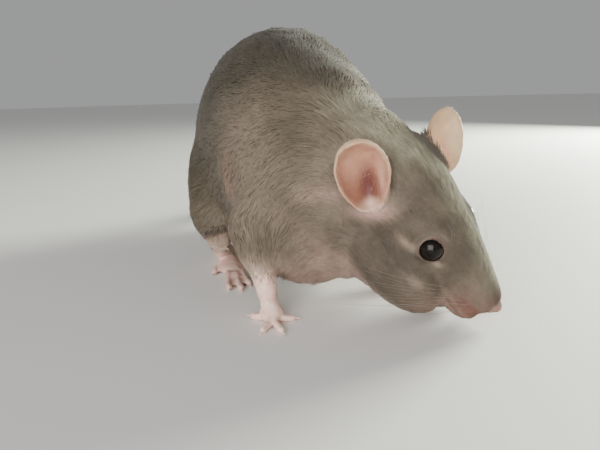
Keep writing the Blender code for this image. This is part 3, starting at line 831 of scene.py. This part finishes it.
def coat_ways(hide):
    """The way the hair lies at each point: back from the nose, along the trunk and down the limbs."""
    p, own = hide.points, hide.head
    count = len(p)
    turn = np.array(HEAD.to_3x3() @ Matrix.Scale(1 / HEAD_SIZE, 3))
    cheek = below(own[:, 2], -10, 4)
    head = np.stack([-np.ones(count), 0.15 * np.sign(own[:, 1]), -0.45 * cheek], axis=1) @ turn.T
    trunk = np.stack([-np.ones(count), np.zeros(count), -0.30 - 0.2 * smooth_step(p[:, 0], 10, 45)], axis=1)
    ways = {
        "head": head,
        "trunk": trunk,
        "foreleg": np.tile((0.40, 0.0, -0.9), (count, 1)),
        "hindleg": np.tile((-0.55, 0.0, -0.8), (count, 1)),
        "foot": np.tile((0.95, 0.0, -0.3), (count, 1)),
        "tail": nearest_on_line(p, TAIL_LINE)[2],
        "ear": np.tile(np.array(head_way((-0.7, 0, 0.6))), (count, 1)),
    }
    flow = sum(unit(ways[name]) * hide.share(name, soft=True)[:, None] for name in GROUPS)
    bend = 0.30 * waves(p, 22, 31) + 0.16 * waves(p, 8, 32)
    flow += np.cross(hide.normals, flow) * bend[:, None]
    flow -= hide.normals * (flow * hide.normals).sum(axis=1)[:, None]
    return unit(hide.spread(unit(flow), 4))


def scattered(hide, wanted, rng):
    """Places scattered over the skin, about wanted to a square millimetre: their faces and corner shares."""
    count = rng.poisson(hide.area * wanted)
    face = np.repeat(np.arange(len(count)), count)
    a, b = rng.random((2, len(face)))
    over = a + b > 1
    a[over], b[over] = 1 - a[over], 1 - b[over]
    return face, np.stack([1 - a - b, a, b], axis=1)


def read_at(hide, values, face, shares):
    """Values of the skin's points, read at scattered places."""
    picked = values[hide.corners[face]]
    if values.ndim == 1:
        return (picked * shares).sum(axis=1)
    return (picked * shares[:, :, None]).sum(axis=1)


def chart(kind, points):
    """Where on an unwrap of the skin each root lies: along the part's length and round it, from 0 to 1."""
    if kind == "head":
        along, across, over = apply(HEAD.inverted(), points).T
    elif kind == "tail":
        along, across, over = nearest_on_line(points, TAIL_LINE)[1], points[:, 1], points[:, 2]
    else:
        along, across, over = points[:, 0], points[:, 1] - TRUNK_AXIS[0], points[:, 2] - TRUNK_AXIS[1]
    angle = np.arctan2(across, -over if kind == "belly" else over)
    if kind == "limbs":
        along, angle = points[:, 2], points[:, 0] + 3 * points[:, 1]
    both = np.stack([along, angle], axis=1)
    low, high = both.min(axis=0), both.max(axis=0)
    return 0.01 + (both - low) / np.maximum(high - low, 1e-9) * (0.98 - PATCH)


# A tuft's corners run root, root, root, then the same at its middle if it is bent, then its tip
BENT = {
    "faces": (
        (0, 2, 5), (0, 5, 3), (2, 1, 4), (2, 4, 5), (1, 0, 3), (1, 3, 4),
        (3, 5, 6), (5, 4, 6), (4, 3, 6), (0, 1, 2),
    ),
    "patch": ((0, 0), (1, 0), (0.5, 0.15), (0, 0.5), (1, 0.5), (0.5, 0.65), (0.5, 1)),
    "light": (0.86, 0.86, 0.92, 0.98, 0.98, 1.0, 1.10),
    "sunk": 0.25,
    "thick": 0.45,
}
STRAIGHT = {
    "faces": ((0, 2, 3), (2, 1, 3), (1, 0, 3), (0, 1, 2)),
    "patch": ((0, 0), (1, 0), (0.5, 0.15), (0.5, 1)),
    "light": (0.90, 0.90, 0.95, 1.08),
    "sunk": 0.08,
    "thick": 0.7,
}


def tuft_mesh(name, roots, kind, material, form):
    """One mesh of tapered three-sided tufts, each sunk in the skin at its root and lying along the coat.

    roots holds arrays: place, normal, way, length, width, lift, bend, colour and shadow.
    """
    p, n, f = roots["place"], roots["normal"], unit(roots["way"])
    length, width, lift, bend = (roots[key][:, None] for key in ("length", "width", "lift", "bend"))
    half = unit(np.cross(n, f)) * width / 2
    root = p - n * form["sunk"]
    middle = p + f * length * 0.5 + n * (lift - bend * (0.5 * length) ** 2 / 2)
    tip = p + f * length + n * (lift * 0.55 - bend * length ** 2 / 2)
    thick = n * width * form["thick"]
    points = [root + half, root - half, root + thick]
    if form is BENT:
        points += [middle + half * 0.85, middle - half * 0.85, middle + thick]
    points = np.stack(points + [tip], axis=1)
    points[:, :, 2] = np.maximum(points[:, :, 2], TUFT_FLOOR)
    count, each = points.shape[:2]
    faces = np.array(form["faces"])
    corners = ((np.arange(count) * each)[:, None, None] + faces).reshape(-1)
    mesh = bpy.data.meshes.new(name)
    mesh.vertices.add(count * each)
    mesh.vertices.foreach_set("co", apply(TO_MODEL, points.reshape(-1, 3)).astype(np.float32).ravel())
    mesh.loops.add(len(corners))
    mesh.loops.foreach_set("vertex_index", corners.astype(np.int32))
    mesh.polygons.add(count * len(faces))
    mesh.polygons.foreach_set("loop_start", np.arange(0, len(corners), 3, dtype=np.int32))
    mesh.update(calc_edges=True)
    mesh.polygons.foreach_set("use_smooth", np.ones(count * len(faces), bool))
    uv = (chart(kind, p)[:, None, :] + np.array(form["patch"]) * PATCH).reshape(-1, 2)
    layer = mesh.uv_layers.new(name="OFBake")
    layer.uv.foreach_set("vector", uv[corners].astype(np.float32).ravel())
    shades = roots["colour"][:, None, :] * (np.array(form["light"]) * roots["shadow"][:, None])[:, :, None]
    write_colours(mesh, "shade", shades.reshape(-1, 3))
    spread = unit((points - root[:, None, :]).reshape(-1, 3)).reshape(count, each, 3)
    mesh.normals_split_custom_set_from_vertices(unit((n[:, None, :] + 0.3 * spread).reshape(-1, 3)))
    mesh.materials.append(material)
    return plain_object(name, mesh)


# Materials

class Value:
    """A number in a material, which takes part in sums."""

    def __init__(self, graph, socket):
        self.graph, self.socket = graph, socket

    def sum(self, kind, *values):
        return Value(self.graph, self.graph.node("Math", {"operation": kind}, *values).outputs[0])

    def __add__(self, other):
        return self.sum("ADD", self, other)

    def __radd__(self, other):
        return self.sum("ADD", other, self)

    def __sub__(self, other):
        return self.sum("SUBTRACT", self, other)

    def __rsub__(self, other):
        return self.sum("SUBTRACT", other, self)

    def __mul__(self, other):
        return self.sum("MULTIPLY", self, other)

    def __rmul__(self, other):
        return self.sum("MULTIPLY", other, self)

    def sine(self):
        return self.sum("SINE", self)


class Finish:
    """One procedural material."""

    def __init__(self, name, **fixed):
        self.material = bpy.data.materials.new(name)
        self.material.use_nodes = True
        self.tree = self.material.node_tree
        self.shader = self.tree.nodes["Principled BSDF"]
        self.place = self.node("TexCoord").outputs["Object"]
        for socket, value in fixed.items():
            self.shader.inputs[socket.replace("_", " ")].default_value = value

    def node(self, kind, settings=None, *values, **named):
        """Adds a node: its kind, its settings, then its sockets' values or links, in order or by name."""
        made = self.tree.nodes.new("ShaderNode" + kind)
        for key, value in (settings or {}).items():
            setattr(made, key, value)
        for socket, value in [*enumerate(values), *((k.replace("_", " "), v) for k, v in named.items())]:
            self.set(made.inputs[socket], value)
        return made

    def set(self, socket, value):
        value = value.socket if isinstance(value, Value) else value
        if isinstance(value, bpy.types.NodeSocket):
            self.tree.links.new(value, socket)
        else:
            socket.default_value = value

    def noise(self, scale, detail=3.0, roughness=0.55):
        made = self.node("TexNoise", None, Vector=self.place, Scale=scale, Detail=detail, Roughness=roughness)
        return Value(self, made.outputs["Fac"])

    def held(self, name, kind="Fac"):
        socket = self.node("Attribute", {"attribute_name": name}).outputs[kind]
        return Value(self, socket) if kind == "Fac" else socket

    def mixed(self, first, second, share, blend="MIX"):
        made = self.tree.nodes.new("ShaderNodeMix")
        made.data_type = "RGBA"
        made.blend_type = blend
        self.set(made.inputs[0], share)
        self.set(made.inputs[6], first)
        self.set(made.inputs[7], second)
        return made.outputs[2]

    def bump(self, height, distance, strength=1.0):
        made = self.node("Bump", None, Height=height, Distance=distance, Strength=strength)
        self.tree.links.new(made.outputs["Normal"], self.shader.inputs["Normal"])

    def give(self, socket, value):
        self.set(self.shader.inputs[socket], value)


def grey(value):
    return (value, value, value, 1)


def coat_finish():
    """The fur's material, which every piece of the coat and the down takes by its name."""
    f = Finish("coat_fur", Roughness=0.72, Sheen_Weight=0.08, Sheen_Roughness=0.4, Specular_IOR_Level=0.16)
    fine = f.noise(900, 2)
    broad = f.noise(140, 3)
    share = 0.55 - 0.8 * fine + 0.2 * broad
    f.give("Base Color", f.mixed(f.held("shade", "Color"), grey(0.55), share, "MULTIPLY"))


def skin_finish(name, subsurface, roughness, rings=False):
    """Mottled skin with pores, and on the tail the rings of scales."""
    f = Finish(
        name, Subsurface_Weight=subsurface, Subsurface_Scale=0.0012, Subsurface_Radius=(1.0, 0.45, 0.3),
    )
    mottle = f.noise(420, 4, 0.6)
    pores = f.noise(2600, 2)
    colour = f.mixed(f.held("tone", "Color"), grey(0.6), 0.75 * (mottle - 0.35), "MULTIPLY")
    height = pores * 0.6 + mottle * 0.5
    if rings:
        ring = (f.held("run") * 5.4).sine()
        height = height + ring * 1.4
        colour = f.mixed(colour, grey(0.5), 0.25 - 0.25 * ring, "MULTIPLY")
    f.give("Base Color", colour)
    f.give("Roughness", roughness + 0.18 * mottle)
    f.bump(height, 0.00012, 0.6)
    return f.material


def eye_finish():
    """A nearly black wet eye, with a dark brown iris round the pupil."""
    f = Finish("eye_wet", Roughness=0.16, Specular_IOR_Level=0.22)
    ring = f.held("ring")
    streaks = f.noise(3000, 3)
    iris = f.mixed((0.006, 0.004, 0.003, 1), (0.014, 0.007, 0.005, 1), streaks)
    f.give("Base Color", f.mixed((0.0025, 0.002, 0.002, 1), iris, ring))
    return f.material


def claw_finish():
    """Pale horn, pinker at the root."""
    f = Finish("claw_horn", Subsurface_Weight=0.3, Subsurface_Scale=0.0006, Roughness=0.32)
    grain = f.noise(1500, 2)
    root = f.held("root")
    colour = f.mixed((0.62, 0.50, 0.40, 1), (0.60, 0.30, 0.24, 1), root * 0.8)
    f.give("Base Color", f.mixed(colour, grey(0.75), 0.6 * grain, "MULTIPLY"))
    f.bump(grain, 0.00004, 0.5)
    return f.material


def whisker_finish():
    f = Finish("whisker_hair", Roughness=0.35)
    f.give("Base Color", f.mixed((0.16, 0.14, 0.11, 1), (0.36, 0.33, 0.28, 1), f.noise(200, 1)))
    return f.material


def floor_finish():
    """A plain pale floor, faintly clouded."""
    f = Finish("floor_pale", Roughness=0.7)
    cloud = f.noise(14, 4)
    f.give("Base Color", f.mixed((0.77, 0.76, 0.745, 1), (0.80, 0.79, 0.78, 1), cloud))
    return f.material


# The pieces

def dressed_skin():
    """The skin as one piece with four finishes: under the coat, bare, on the ears and on the tail."""
    hide = Hide(fused_skin())
    sculpt(hide)
    hide.write_back()
    mesh = hide.obj.data
    hide.coat = markings(hide)
    marks = [ear_marks(ear_places(hide.points, name)[0], -side) for name, side in SIDES.items()]
    hide.rim = np.max([rim * (1 - canal) * (1 - low) for rim, canal, _, low in marks], axis=0)
    write_colours(mesh, "tone", skin_colours(hide, hide.coat))
    write_value(mesh, "run", nearest_on_line(hide.points, TAIL_LINE)[1])
    mesh.materials.clear()
    for name, subsurface, roughness, rings in (
        ("skin_under_coat", 0.05, 0.6, False), ("skin_bare", 0.3, 0.42, False),
        ("skin_ear", 0.5, 0.45, False), ("skin_tail", 0.15, 0.5, True),
    ):
        mesh.materials.append(skin_finish(name, subsurface, roughness, rings))
    slots = np.zeros(len(hide.corners), np.int32)
    slots[np.linalg.norm(hide.on_faces(hide.head), axis=1) < 3.2] = 1
    for group, slot in (("foot", 1), ("ear", 2), ("tail", 3)):
        slots[hide.faces_of(group)] = slot
    mesh.polygons.foreach_set("material_index", slots)
    mesh.polygons.foreach_set("use_smooth", np.ones(len(slots), bool))
    place_piece(hide.obj, FLESH)
    return hide


def coat_measures(hide):
    """Length, width and lift of the tufts at each point, and how many stand on a square millimetre."""
    p, own, height = hide.points, hide.head, hide.height
    head, leg = hide.share("head", soft=True), hide.share("hindleg", soft=True)
    ruffle = 0.7 * smooth_step(waves(p, 11, 41), 0.2, 1.3) * smooth_step(height, 45, 78)
    nape = smooth_step(waves(p, 12, 42), 0.1, 1.2) * smooth_step(p[:, 0], 30, 50) * bell(p[:, 1] - 12, 9)
    nape *= smooth_step(height, 42, 52)
    ruffle = np.clip(ruffle + nape, 0, 1)
    length = 5.2 - 1.0 * below(height, 8, 26) + 2.2 * ruffle
    face = np.interp(own[:, 0], (-50, -36, -22, -10, -3), (4.2, 3.4, 2.3, 1.3, 0.6))
    length = length * (1 - head) + face * head
    forearm = hide.share("foreleg", soft=True) * below(height, 13, 24)
    low = np.maximum(leg * below(height, 8, 18), below(height, 9, 15) * leg.clip(0, 0.4) * 2.5)
    length = length * (1 - 0.65 * forearm) * (1 - 0.75 * low)
    near_eye = smooth_step(from_eyes(p), 3.9, 9)
    length = np.clip(length * (0.35 + 0.65 * near_eye), 0.5, None)
    far = [np.linalg.norm(ear_places(p, name)[0] - (0, 4, 0), axis=1) for name in SIDES]
    by_ear = np.exp(-(np.min(far, axis=0) / 13) ** 4)
    length *= 1 - 0.55 * by_ear
    ruffle *= 1 - by_ear
    length *= 1 - 0.5 * below(hide.bend, -0.2, -0.05)
    width = 0.11 + 0.047 * length
    lift = (0.18 + 0.055 * length) * (1 - 0.5 * by_ear) * (1 - 0.4 * forearm) + 0.8 * ruffle
    lift += 0.6 * head * bell(own[:, 1] - 2, 4) * smooth_step(own[:, 2], 0, 4)
    dense = 6.3 / (length * width) * (0.75 + 0.25 * near_eye)
    return length, width, lift, dense


def furred(hide):
    """How much of each point grows a coat: none on the nose, lips, lids, ears, feet and tail."""
    height, along, head = hide.height, hide.points[:, 0], hide.share("head")
    arm = (hide.share("foreleg") + hide.share("foot")).clip(0, 1)
    leg = hide.share("hindleg", soft=True)
    bare = np.maximum.reduce([
        smooth_step(hide.share("foot"), 0.25, 0.6),
        smooth_step(hide.share("ear"), 0.2, 0.5),
        smooth_step(hide.share("tail"), 0.3, 0.7),
        arm * below(height, 11, 17) * smooth_step(along, 22, 28),
        leg * below(height, 9, 11.5) * smooth_step(along, 0, 5) * 2,
        leg * below(height, 7, 9) * 2,
        below(np.linalg.norm(hide.head, axis=1), 2.6, 3.6),
        below(from_eyes(hide.points), 4.0, 4.3) * head,
        below(from_line(hide.points, mouth_line()), 0.5, 0.9) * head,
    ])
    return 1 - bare.clip(0, 1)


def grow(hide, name, wanted, kind, seed, measures, form, colours, clump=0.3, guard=0.04):
    """Grows one piece of tufts on the faces where wanted is above nothing.

    measures are their length, width and lift at each point of the skin. clump is how far they turn to the
    tips of their clumps, and guard is the share of longer, thinner and darker hairs.
    """
    rng = np.random.default_rng(seed)
    face, shares = scattered(hide, wanted, rng)
    limit = int(PIECE_LIMIT / len(form["faces"]))
    if len(face) > limit:
        keep = np.sort(rng.permutation(len(face))[:limit])
        face, shares = face[keep], shares[keep]
    count = len(face)
    place, normal, way, length, width, lift, bend, colour = (
        read_at(hide, values, face, shares)
        for values in (hide.points, hide.normals, hide.flow, *measures, hide.bend, colours)
    )
    normal, way = unit(normal), unit(way)
    length = length * rng.uniform(0.75, 1.25, count)
    width = width * rng.uniform(0.8, 1.2, count)
    lift = lift * rng.uniform(0.6, 1.3, count)
    tall = rng.random(count) < guard
    length[tall] *= 1.35
    width[tall] *= 0.6
    lift[tall] *= 1.5
    way = unit(way + np.cross(normal, way) * rng.normal(0, 0.13, count)[:, None])
    way = gathered(place, way, length, rng, clump)
    colour = colour * rng.normal(1, 0.05, (count, 1)).clip(0.85, 1.15)
    shadow = rng.uniform(0.92, 1.08, count)
    shadow[tall] *= 0.85
    roots = {
        "place": place, "normal": normal, "way": way, "length": length, "width": width, "lift": lift,
        "bend": bend.clip(-0.08, 0.12) * 0.9, "colour": colour, "shadow": shadow,
    }
    place_piece(tuft_mesh(name, roots, kind, bpy.data.materials["coat_fur"], form))


def gathered(place, way, size, rng, share):
    """Turns each tuft a little towards the tip of the clump it stands in."""
    picked = rng.permutation(len(place))[:max(len(place) // 14, 1)]
    tree = KDTree(len(picked))
    for i, root in enumerate(place[picked]):
        tree.insert(root, i)
    tree.balance()
    home = picked[[tree.find(root)[1] for root in place]]
    tip = place[home] + way[home] * size[home][:, None]
    return unit(way + unit(tip - place) * share)


def coat(hide):
    """The whole coat, in pieces by side and part of the body."""
    coat_finish()
    hide.flow = coat_ways(hide)
    hide.bend = hide.bends()
    *measures, dense = coat_measures(hide)
    wanted = hide.on_faces(dense) * hide.on_faces(furred(hide))
    centre = hide.on_faces(hide.points)
    head, fore = hide.faces_of("head"), hide.faces_of("foreleg")
    left = hide.on_faces(hide.head)[:, 1] > 0
    angle = np.degrees(np.arctan2(centre[:, 1] - TRUNK_AXIS[0], centre[:, 2] - TRUNK_AXIS[1]))
    body = ~head & ~fore
    pieces = {
        "coat_face_left": (head & left, "head", STRAIGHT),
        "coat_face_right": (head & ~left, "head", STRAIGHT),
        "coat_forelegs": (fore, "limbs", BENT),
        "coat_back_left": (body & (angle >= 0) & (angle < BACK_EDGE), "trunk", BENT),
        "coat_back_right": (body & (angle < 0) & (angle > -BACK_EDGE), "trunk", BENT),
        "coat_flank_left": (body & (angle >= BACK_EDGE) & (angle < BELLY_EDGE), "trunk", BENT),
        "coat_flank_right": (body & (angle <= -BACK_EDGE) & (angle > -BELLY_EDGE), "trunk", BENT),
        "coat_belly_left": (body & (angle >= BELLY_EDGE), "belly", BENT),
        "coat_belly_right": (body & (angle <= -BELLY_EDGE), "belly", BENT),
    }
    wanted = np.where(body & (np.abs(angle) > SPARSE_EDGE), SPARSE * wanted, wanted)
    for seed, (name, (mask, kind, form)) in enumerate(pieces.items(), 100):
        grow(hide, name, wanted * mask, kind, seed, measures, form, hide.coat)


def down(hide):
    """The short hair of the ears, the feet, the forearms and the tail."""
    count = len(hide.points)
    reach = {
        "ear": hide.on_faces(hide.rim),
        "foot": hide.on_faces(hide.normals)[:, 2] > 0.1,
        "foreleg": hide.on_faces(hide.share("foreleg") * below(hide.height, 12, 17)),
        "tail": 1,
    }
    for seed, (name, group, kind, measures, dense, colour) in enumerate((
        ("down_ears", "ear", "head", (0.9, 0.06, 0.25), 2.2, HAIR_PALE),
        ("down_feet", "foot", "limbs", (0.9, 0.07, 0.16), 2.5, HAIR_PALE),
        ("down_forelegs", "foreleg", "limbs", (1.6, 0.10, 0.16), 6.0, PINK_PALE),
        ("down_tail", "tail", "tail", (1.6, 0.07, 0.30), 1.6, COAT),
    ), 200):
        wanted = dense * hide.faces_of(group) * reach[group]
        measures = [np.full(count, size) for size in measures]
        grow(hide, name, wanted, kind, seed, measures, STRAIGHT, np.tile(colour, (count, 1)), 0.0, 0.0)


def eyes():
    """Two wet eyeballs, each with a cornea that stands a little out of the ball."""
    material = eye_finish()
    for name in SIDES:
        _, turned = eye_places(np.zeros((1, 3)), name)
        bm = bmesh.new()
        bmesh.ops.create_uvsphere(bm, u_segments=40, v_segments=28, radius=EYE_SIZE)
        rings = []
        for vert in bm.verts:
            ahead = vert.co.z / EYE_SIZE
            rings.append(float(np.interp(ahead, (0.70, 0.80, 0.93, 0.95), (0, 1, 1, 0))))
            vert.co *= 1 + 0.04 * max(ahead, 0) ** 4
        bm.transform(TO_MODEL @ turned)
        mesh_piece("eyeball_" + name, bm, material, ("eye_" + name,), ("ring", rings))


def toe_ends():
    """Each foot's toe tips: place, heading and length of toe."""
    out = {}
    feet = (("forefoot", FOREFOOT_PLACE, FOREFOOT_TOES), ("hindfoot", HINDFOOT_PLACE, HINDFOOT_TOES))
    for name, side in SIDES.items():
        for kind, places, toes in feet:
            x, y, turn = places[name]
            heading = math.radians(turn)
            foot = Matrix.Translation((x, y, 0)) @ Matrix.Rotation(heading, 4, "Z")
            ends = out[kind + "_" + name] = []
            for forward, aside, degrees, length in toes:
                angle = heading - side * math.radians(degrees)
                root = foot @ Vector((forward, -side * aside, 0))
                ends.append((root + Vector((math.cos(angle), math.sin(angle), 0)) * length, angle, length))
    return out


def claws():
    """A small hooked claw on each toe, in one piece to a foot."""
    material = claw_finish()
    for name, toes in toe_ends().items():
        bm = bmesh.new()
        for place, angle, _ in toes:
            way = Vector((math.cos(angle), math.sin(angle), 0))
            across = way.cross(UP)
            for vert in bmesh.ops.create_uvsphere(bm, u_segments=10, v_segments=9, radius=1)["verts"]:
                along = (vert.co.z + 1) / 2
                thick = CLAW_RADIUS * (1 - along) ** 0.7 + 0.04
                ring = vert.co.xy.normalized() * thick if vert.co.xy.length > 1e-6 else Vector((0, 0))
                rise = max(1.0 + 0.1 * along - 0.8 * along ** 2, 0.15)
                out = way * (CLAW_LENGTH * along - 0.5)
                vert.co = place + out + UP * (rise + ring.y) + across * ring.x * 0.75
        for vert in bm.verts:
            vert.co.z = max(vert.co.z, 0.02)
        near = [min((vert.co.xy - place.xy).length for place, _, _ in toes) for vert in bm.verts]
        roots = [1 - min(distance / 2.0, 1) for distance in near]
        bmesh.ops.recalc_face_normals(bm, faces=bm.faces)
        bm.transform(TO_MODEL)
        mesh_piece("claws_" + name, bm, material, held=("root", roots))


def whisker_line(tree, side, x, z, length, rng):
    """The points of one whisker from the pad to its tip, or nothing where there is no skin to stand on."""
    turn = HEAD.to_3x3().normalized()
    inside = HEAD @ Vector((x, 0.5 * side, z * 0.5))
    hit = tree.ray_cast(inside, turn @ Vector((0, side, 0.05 * z if z < BROW else 0.9)))[0]
    if hit is None:
        return []
    rise = 0.20 + 0.14 * z + rng.uniform(-0.12, 0.12)
    way = (turn @ Vector((-0.35 - 0.03 * length / 4, side * 0.9, rise))).normalized()
    length *= rng.uniform(0.85, 1.1)
    ends = []
    for share in np.linspace(0, 1, 6):
        bend = turn @ Vector((-0.30, -0.05 * side, -0.10)) * length * share ** 2
        ends.append(hit - way * 0.4 + way * length * share + bend)
    low, high = (Vector(corner) / MM + MIDDLE for corner in CAD_BOX)
    outside = any(p.x > high.x + ROOM or p.y > high.y + ROOM or p.y < low.y - ROOM for p in ends)
    if outside or min(p.z for p in ends) < 0.6:
        ends = [ends[0].lerp(p, 0.45) + UP * (0.0 if p.z > 1 else 1 - p.z) for p in ends]
    return ends


def whiskers(hide):
    """Long fine hairs in rows on each whisker pad, with two over each eye."""
    material = whisker_finish()
    tree = BVHTree.FromPolygons(hide.points.tolist(), hide.corners.tolist())
    rng = np.random.default_rng(8)
    roots = [
        (-6.2 - 1.7 * column - 0.3 * row, 0.2 - 1.35 * row, 12 + 6.5 * column)
        for row in range(4) for column in range(5)
    ]
    roots += BROW_WHISKERS
    for name, side in SIDES.items():
        curve = bpy.data.curves.new("whiskers_" + name, "CURVE")
        curve.dimensions = "3D"
        curve.bevel_depth = WHISKER_RADIUS * MM
        curve.bevel_resolution = 1
        curve.resolution_u = 6
        for x, z, length in roots:
            ends = whisker_line(tree, side, x, z, length, rng)
            if not ends:
                continue
            spline = curve.splines.new("NURBS")
            spline.points.add(len(ends) - 1)
            spline.use_endpoint_u = True
            spline.order_u = 4
            for point, end, thin in zip(spline.points, ends, np.linspace(1, 0.12, len(ends))):
                point.co = (*(TO_MODEL @ end), 1)
                point.radius = thin
        made = plain_object("whiskers_" + name, curve)
        mesh = bpy.data.meshes.new_from_object(made.evaluated_get(bpy.context.evaluated_depsgraph_get()))
        bpy.data.objects.remove(made)
        bm = bmesh.new()
        bm.from_mesh(mesh)
        bpy.data.meshes.remove(mesh)
        bmesh.ops.holes_fill(bm, edges=[e for e in bm.edges if e.is_boundary], sides=0)
        bmesh.ops.recalc_face_normals(bm, faces=bm.faces)
        mesh_piece("whiskers_" + name, bm, material)


# The studio

def floor():
    bm = bmesh.new()
    bmesh.ops.create_circle(bm, cap_ends=True, segments=96, radius=FLOOR_RADIUS)
    mesh = bpy.data.meshes.new("floor")
    bm.to_mesh(mesh)
    bm.free()
    mesh.materials.append(floor_finish())
    plain_object("floor", mesh)


def camera():
    """The photo's view: from before the right shoulder, a little down and a little rolled."""
    heading, pitch, roll = (math.radians(a) for a in (CAMERA_HEADING, CAMERA_PITCH, CAMERA_ROLL))
    toward = Vector((math.cos(heading), -math.sin(heading)))
    left = Vector((math.sin(heading), math.cos(heading)))

    def in_rat(v):
        return Vector((v.x * toward.x + v.y * toward.y, v.x * left.x + v.y * left.y, v.z))

    forward = Vector((0, math.cos(pitch), -math.sin(pitch)))
    up = Vector((0, math.sin(pitch), math.cos(pitch)))
    right = Vector((1, 0, 0))
    across = right * math.cos(roll) - up * math.sin(roll)
    over = right * math.sin(roll) + up * math.cos(roll)
    turned = Matrix([in_rat(v) for v in (across, over, -forward)]).transposed().to_4x4()
    turned.translation = TO_MODEL @ Vector(CAMERA_PLACE)
    made = bpy.data.cameras.new("camera")
    made.lens = CAMERA_LENS
    made.clip_start = 0.005
    obj = plain_object("camera", made)
    obj.matrix_world = turned
    bpy.context.scene.camera = obj


def light(name, place, aim, size, power, colour, gleam):
    """A square soft light at place that faces aim."""
    made = bpy.data.lights.new(name, "AREA")
    made.size = size
    made.energy = power
    made.color = colour
    made.specular_factor = gleam
    obj = plain_object(name, made)
    obj.location = place
    obj.rotation_euler = (Vector(aim) - Vector(place)).to_track_quat("-Z", "Y").to_euler()


def studio():
    """Two soft lights and an even sky."""
    light("rim", *RIM_LIGHT)
    light("key", *KEY_LIGHT)
    world = bpy.data.worlds.new("studio")
    world.use_nodes = True
    background = world.node_tree.nodes["Background"]
    background.inputs["Color"].default_value = SKY_COLOUR
    background.inputs["Strength"].default_value = SKY_STRENGTH
    bpy.context.scene.world = world


camera()
studio()
floor()
hide = dressed_skin()
eyes()
claws()
coat(hide)
down(hide)
whiskers(hide)
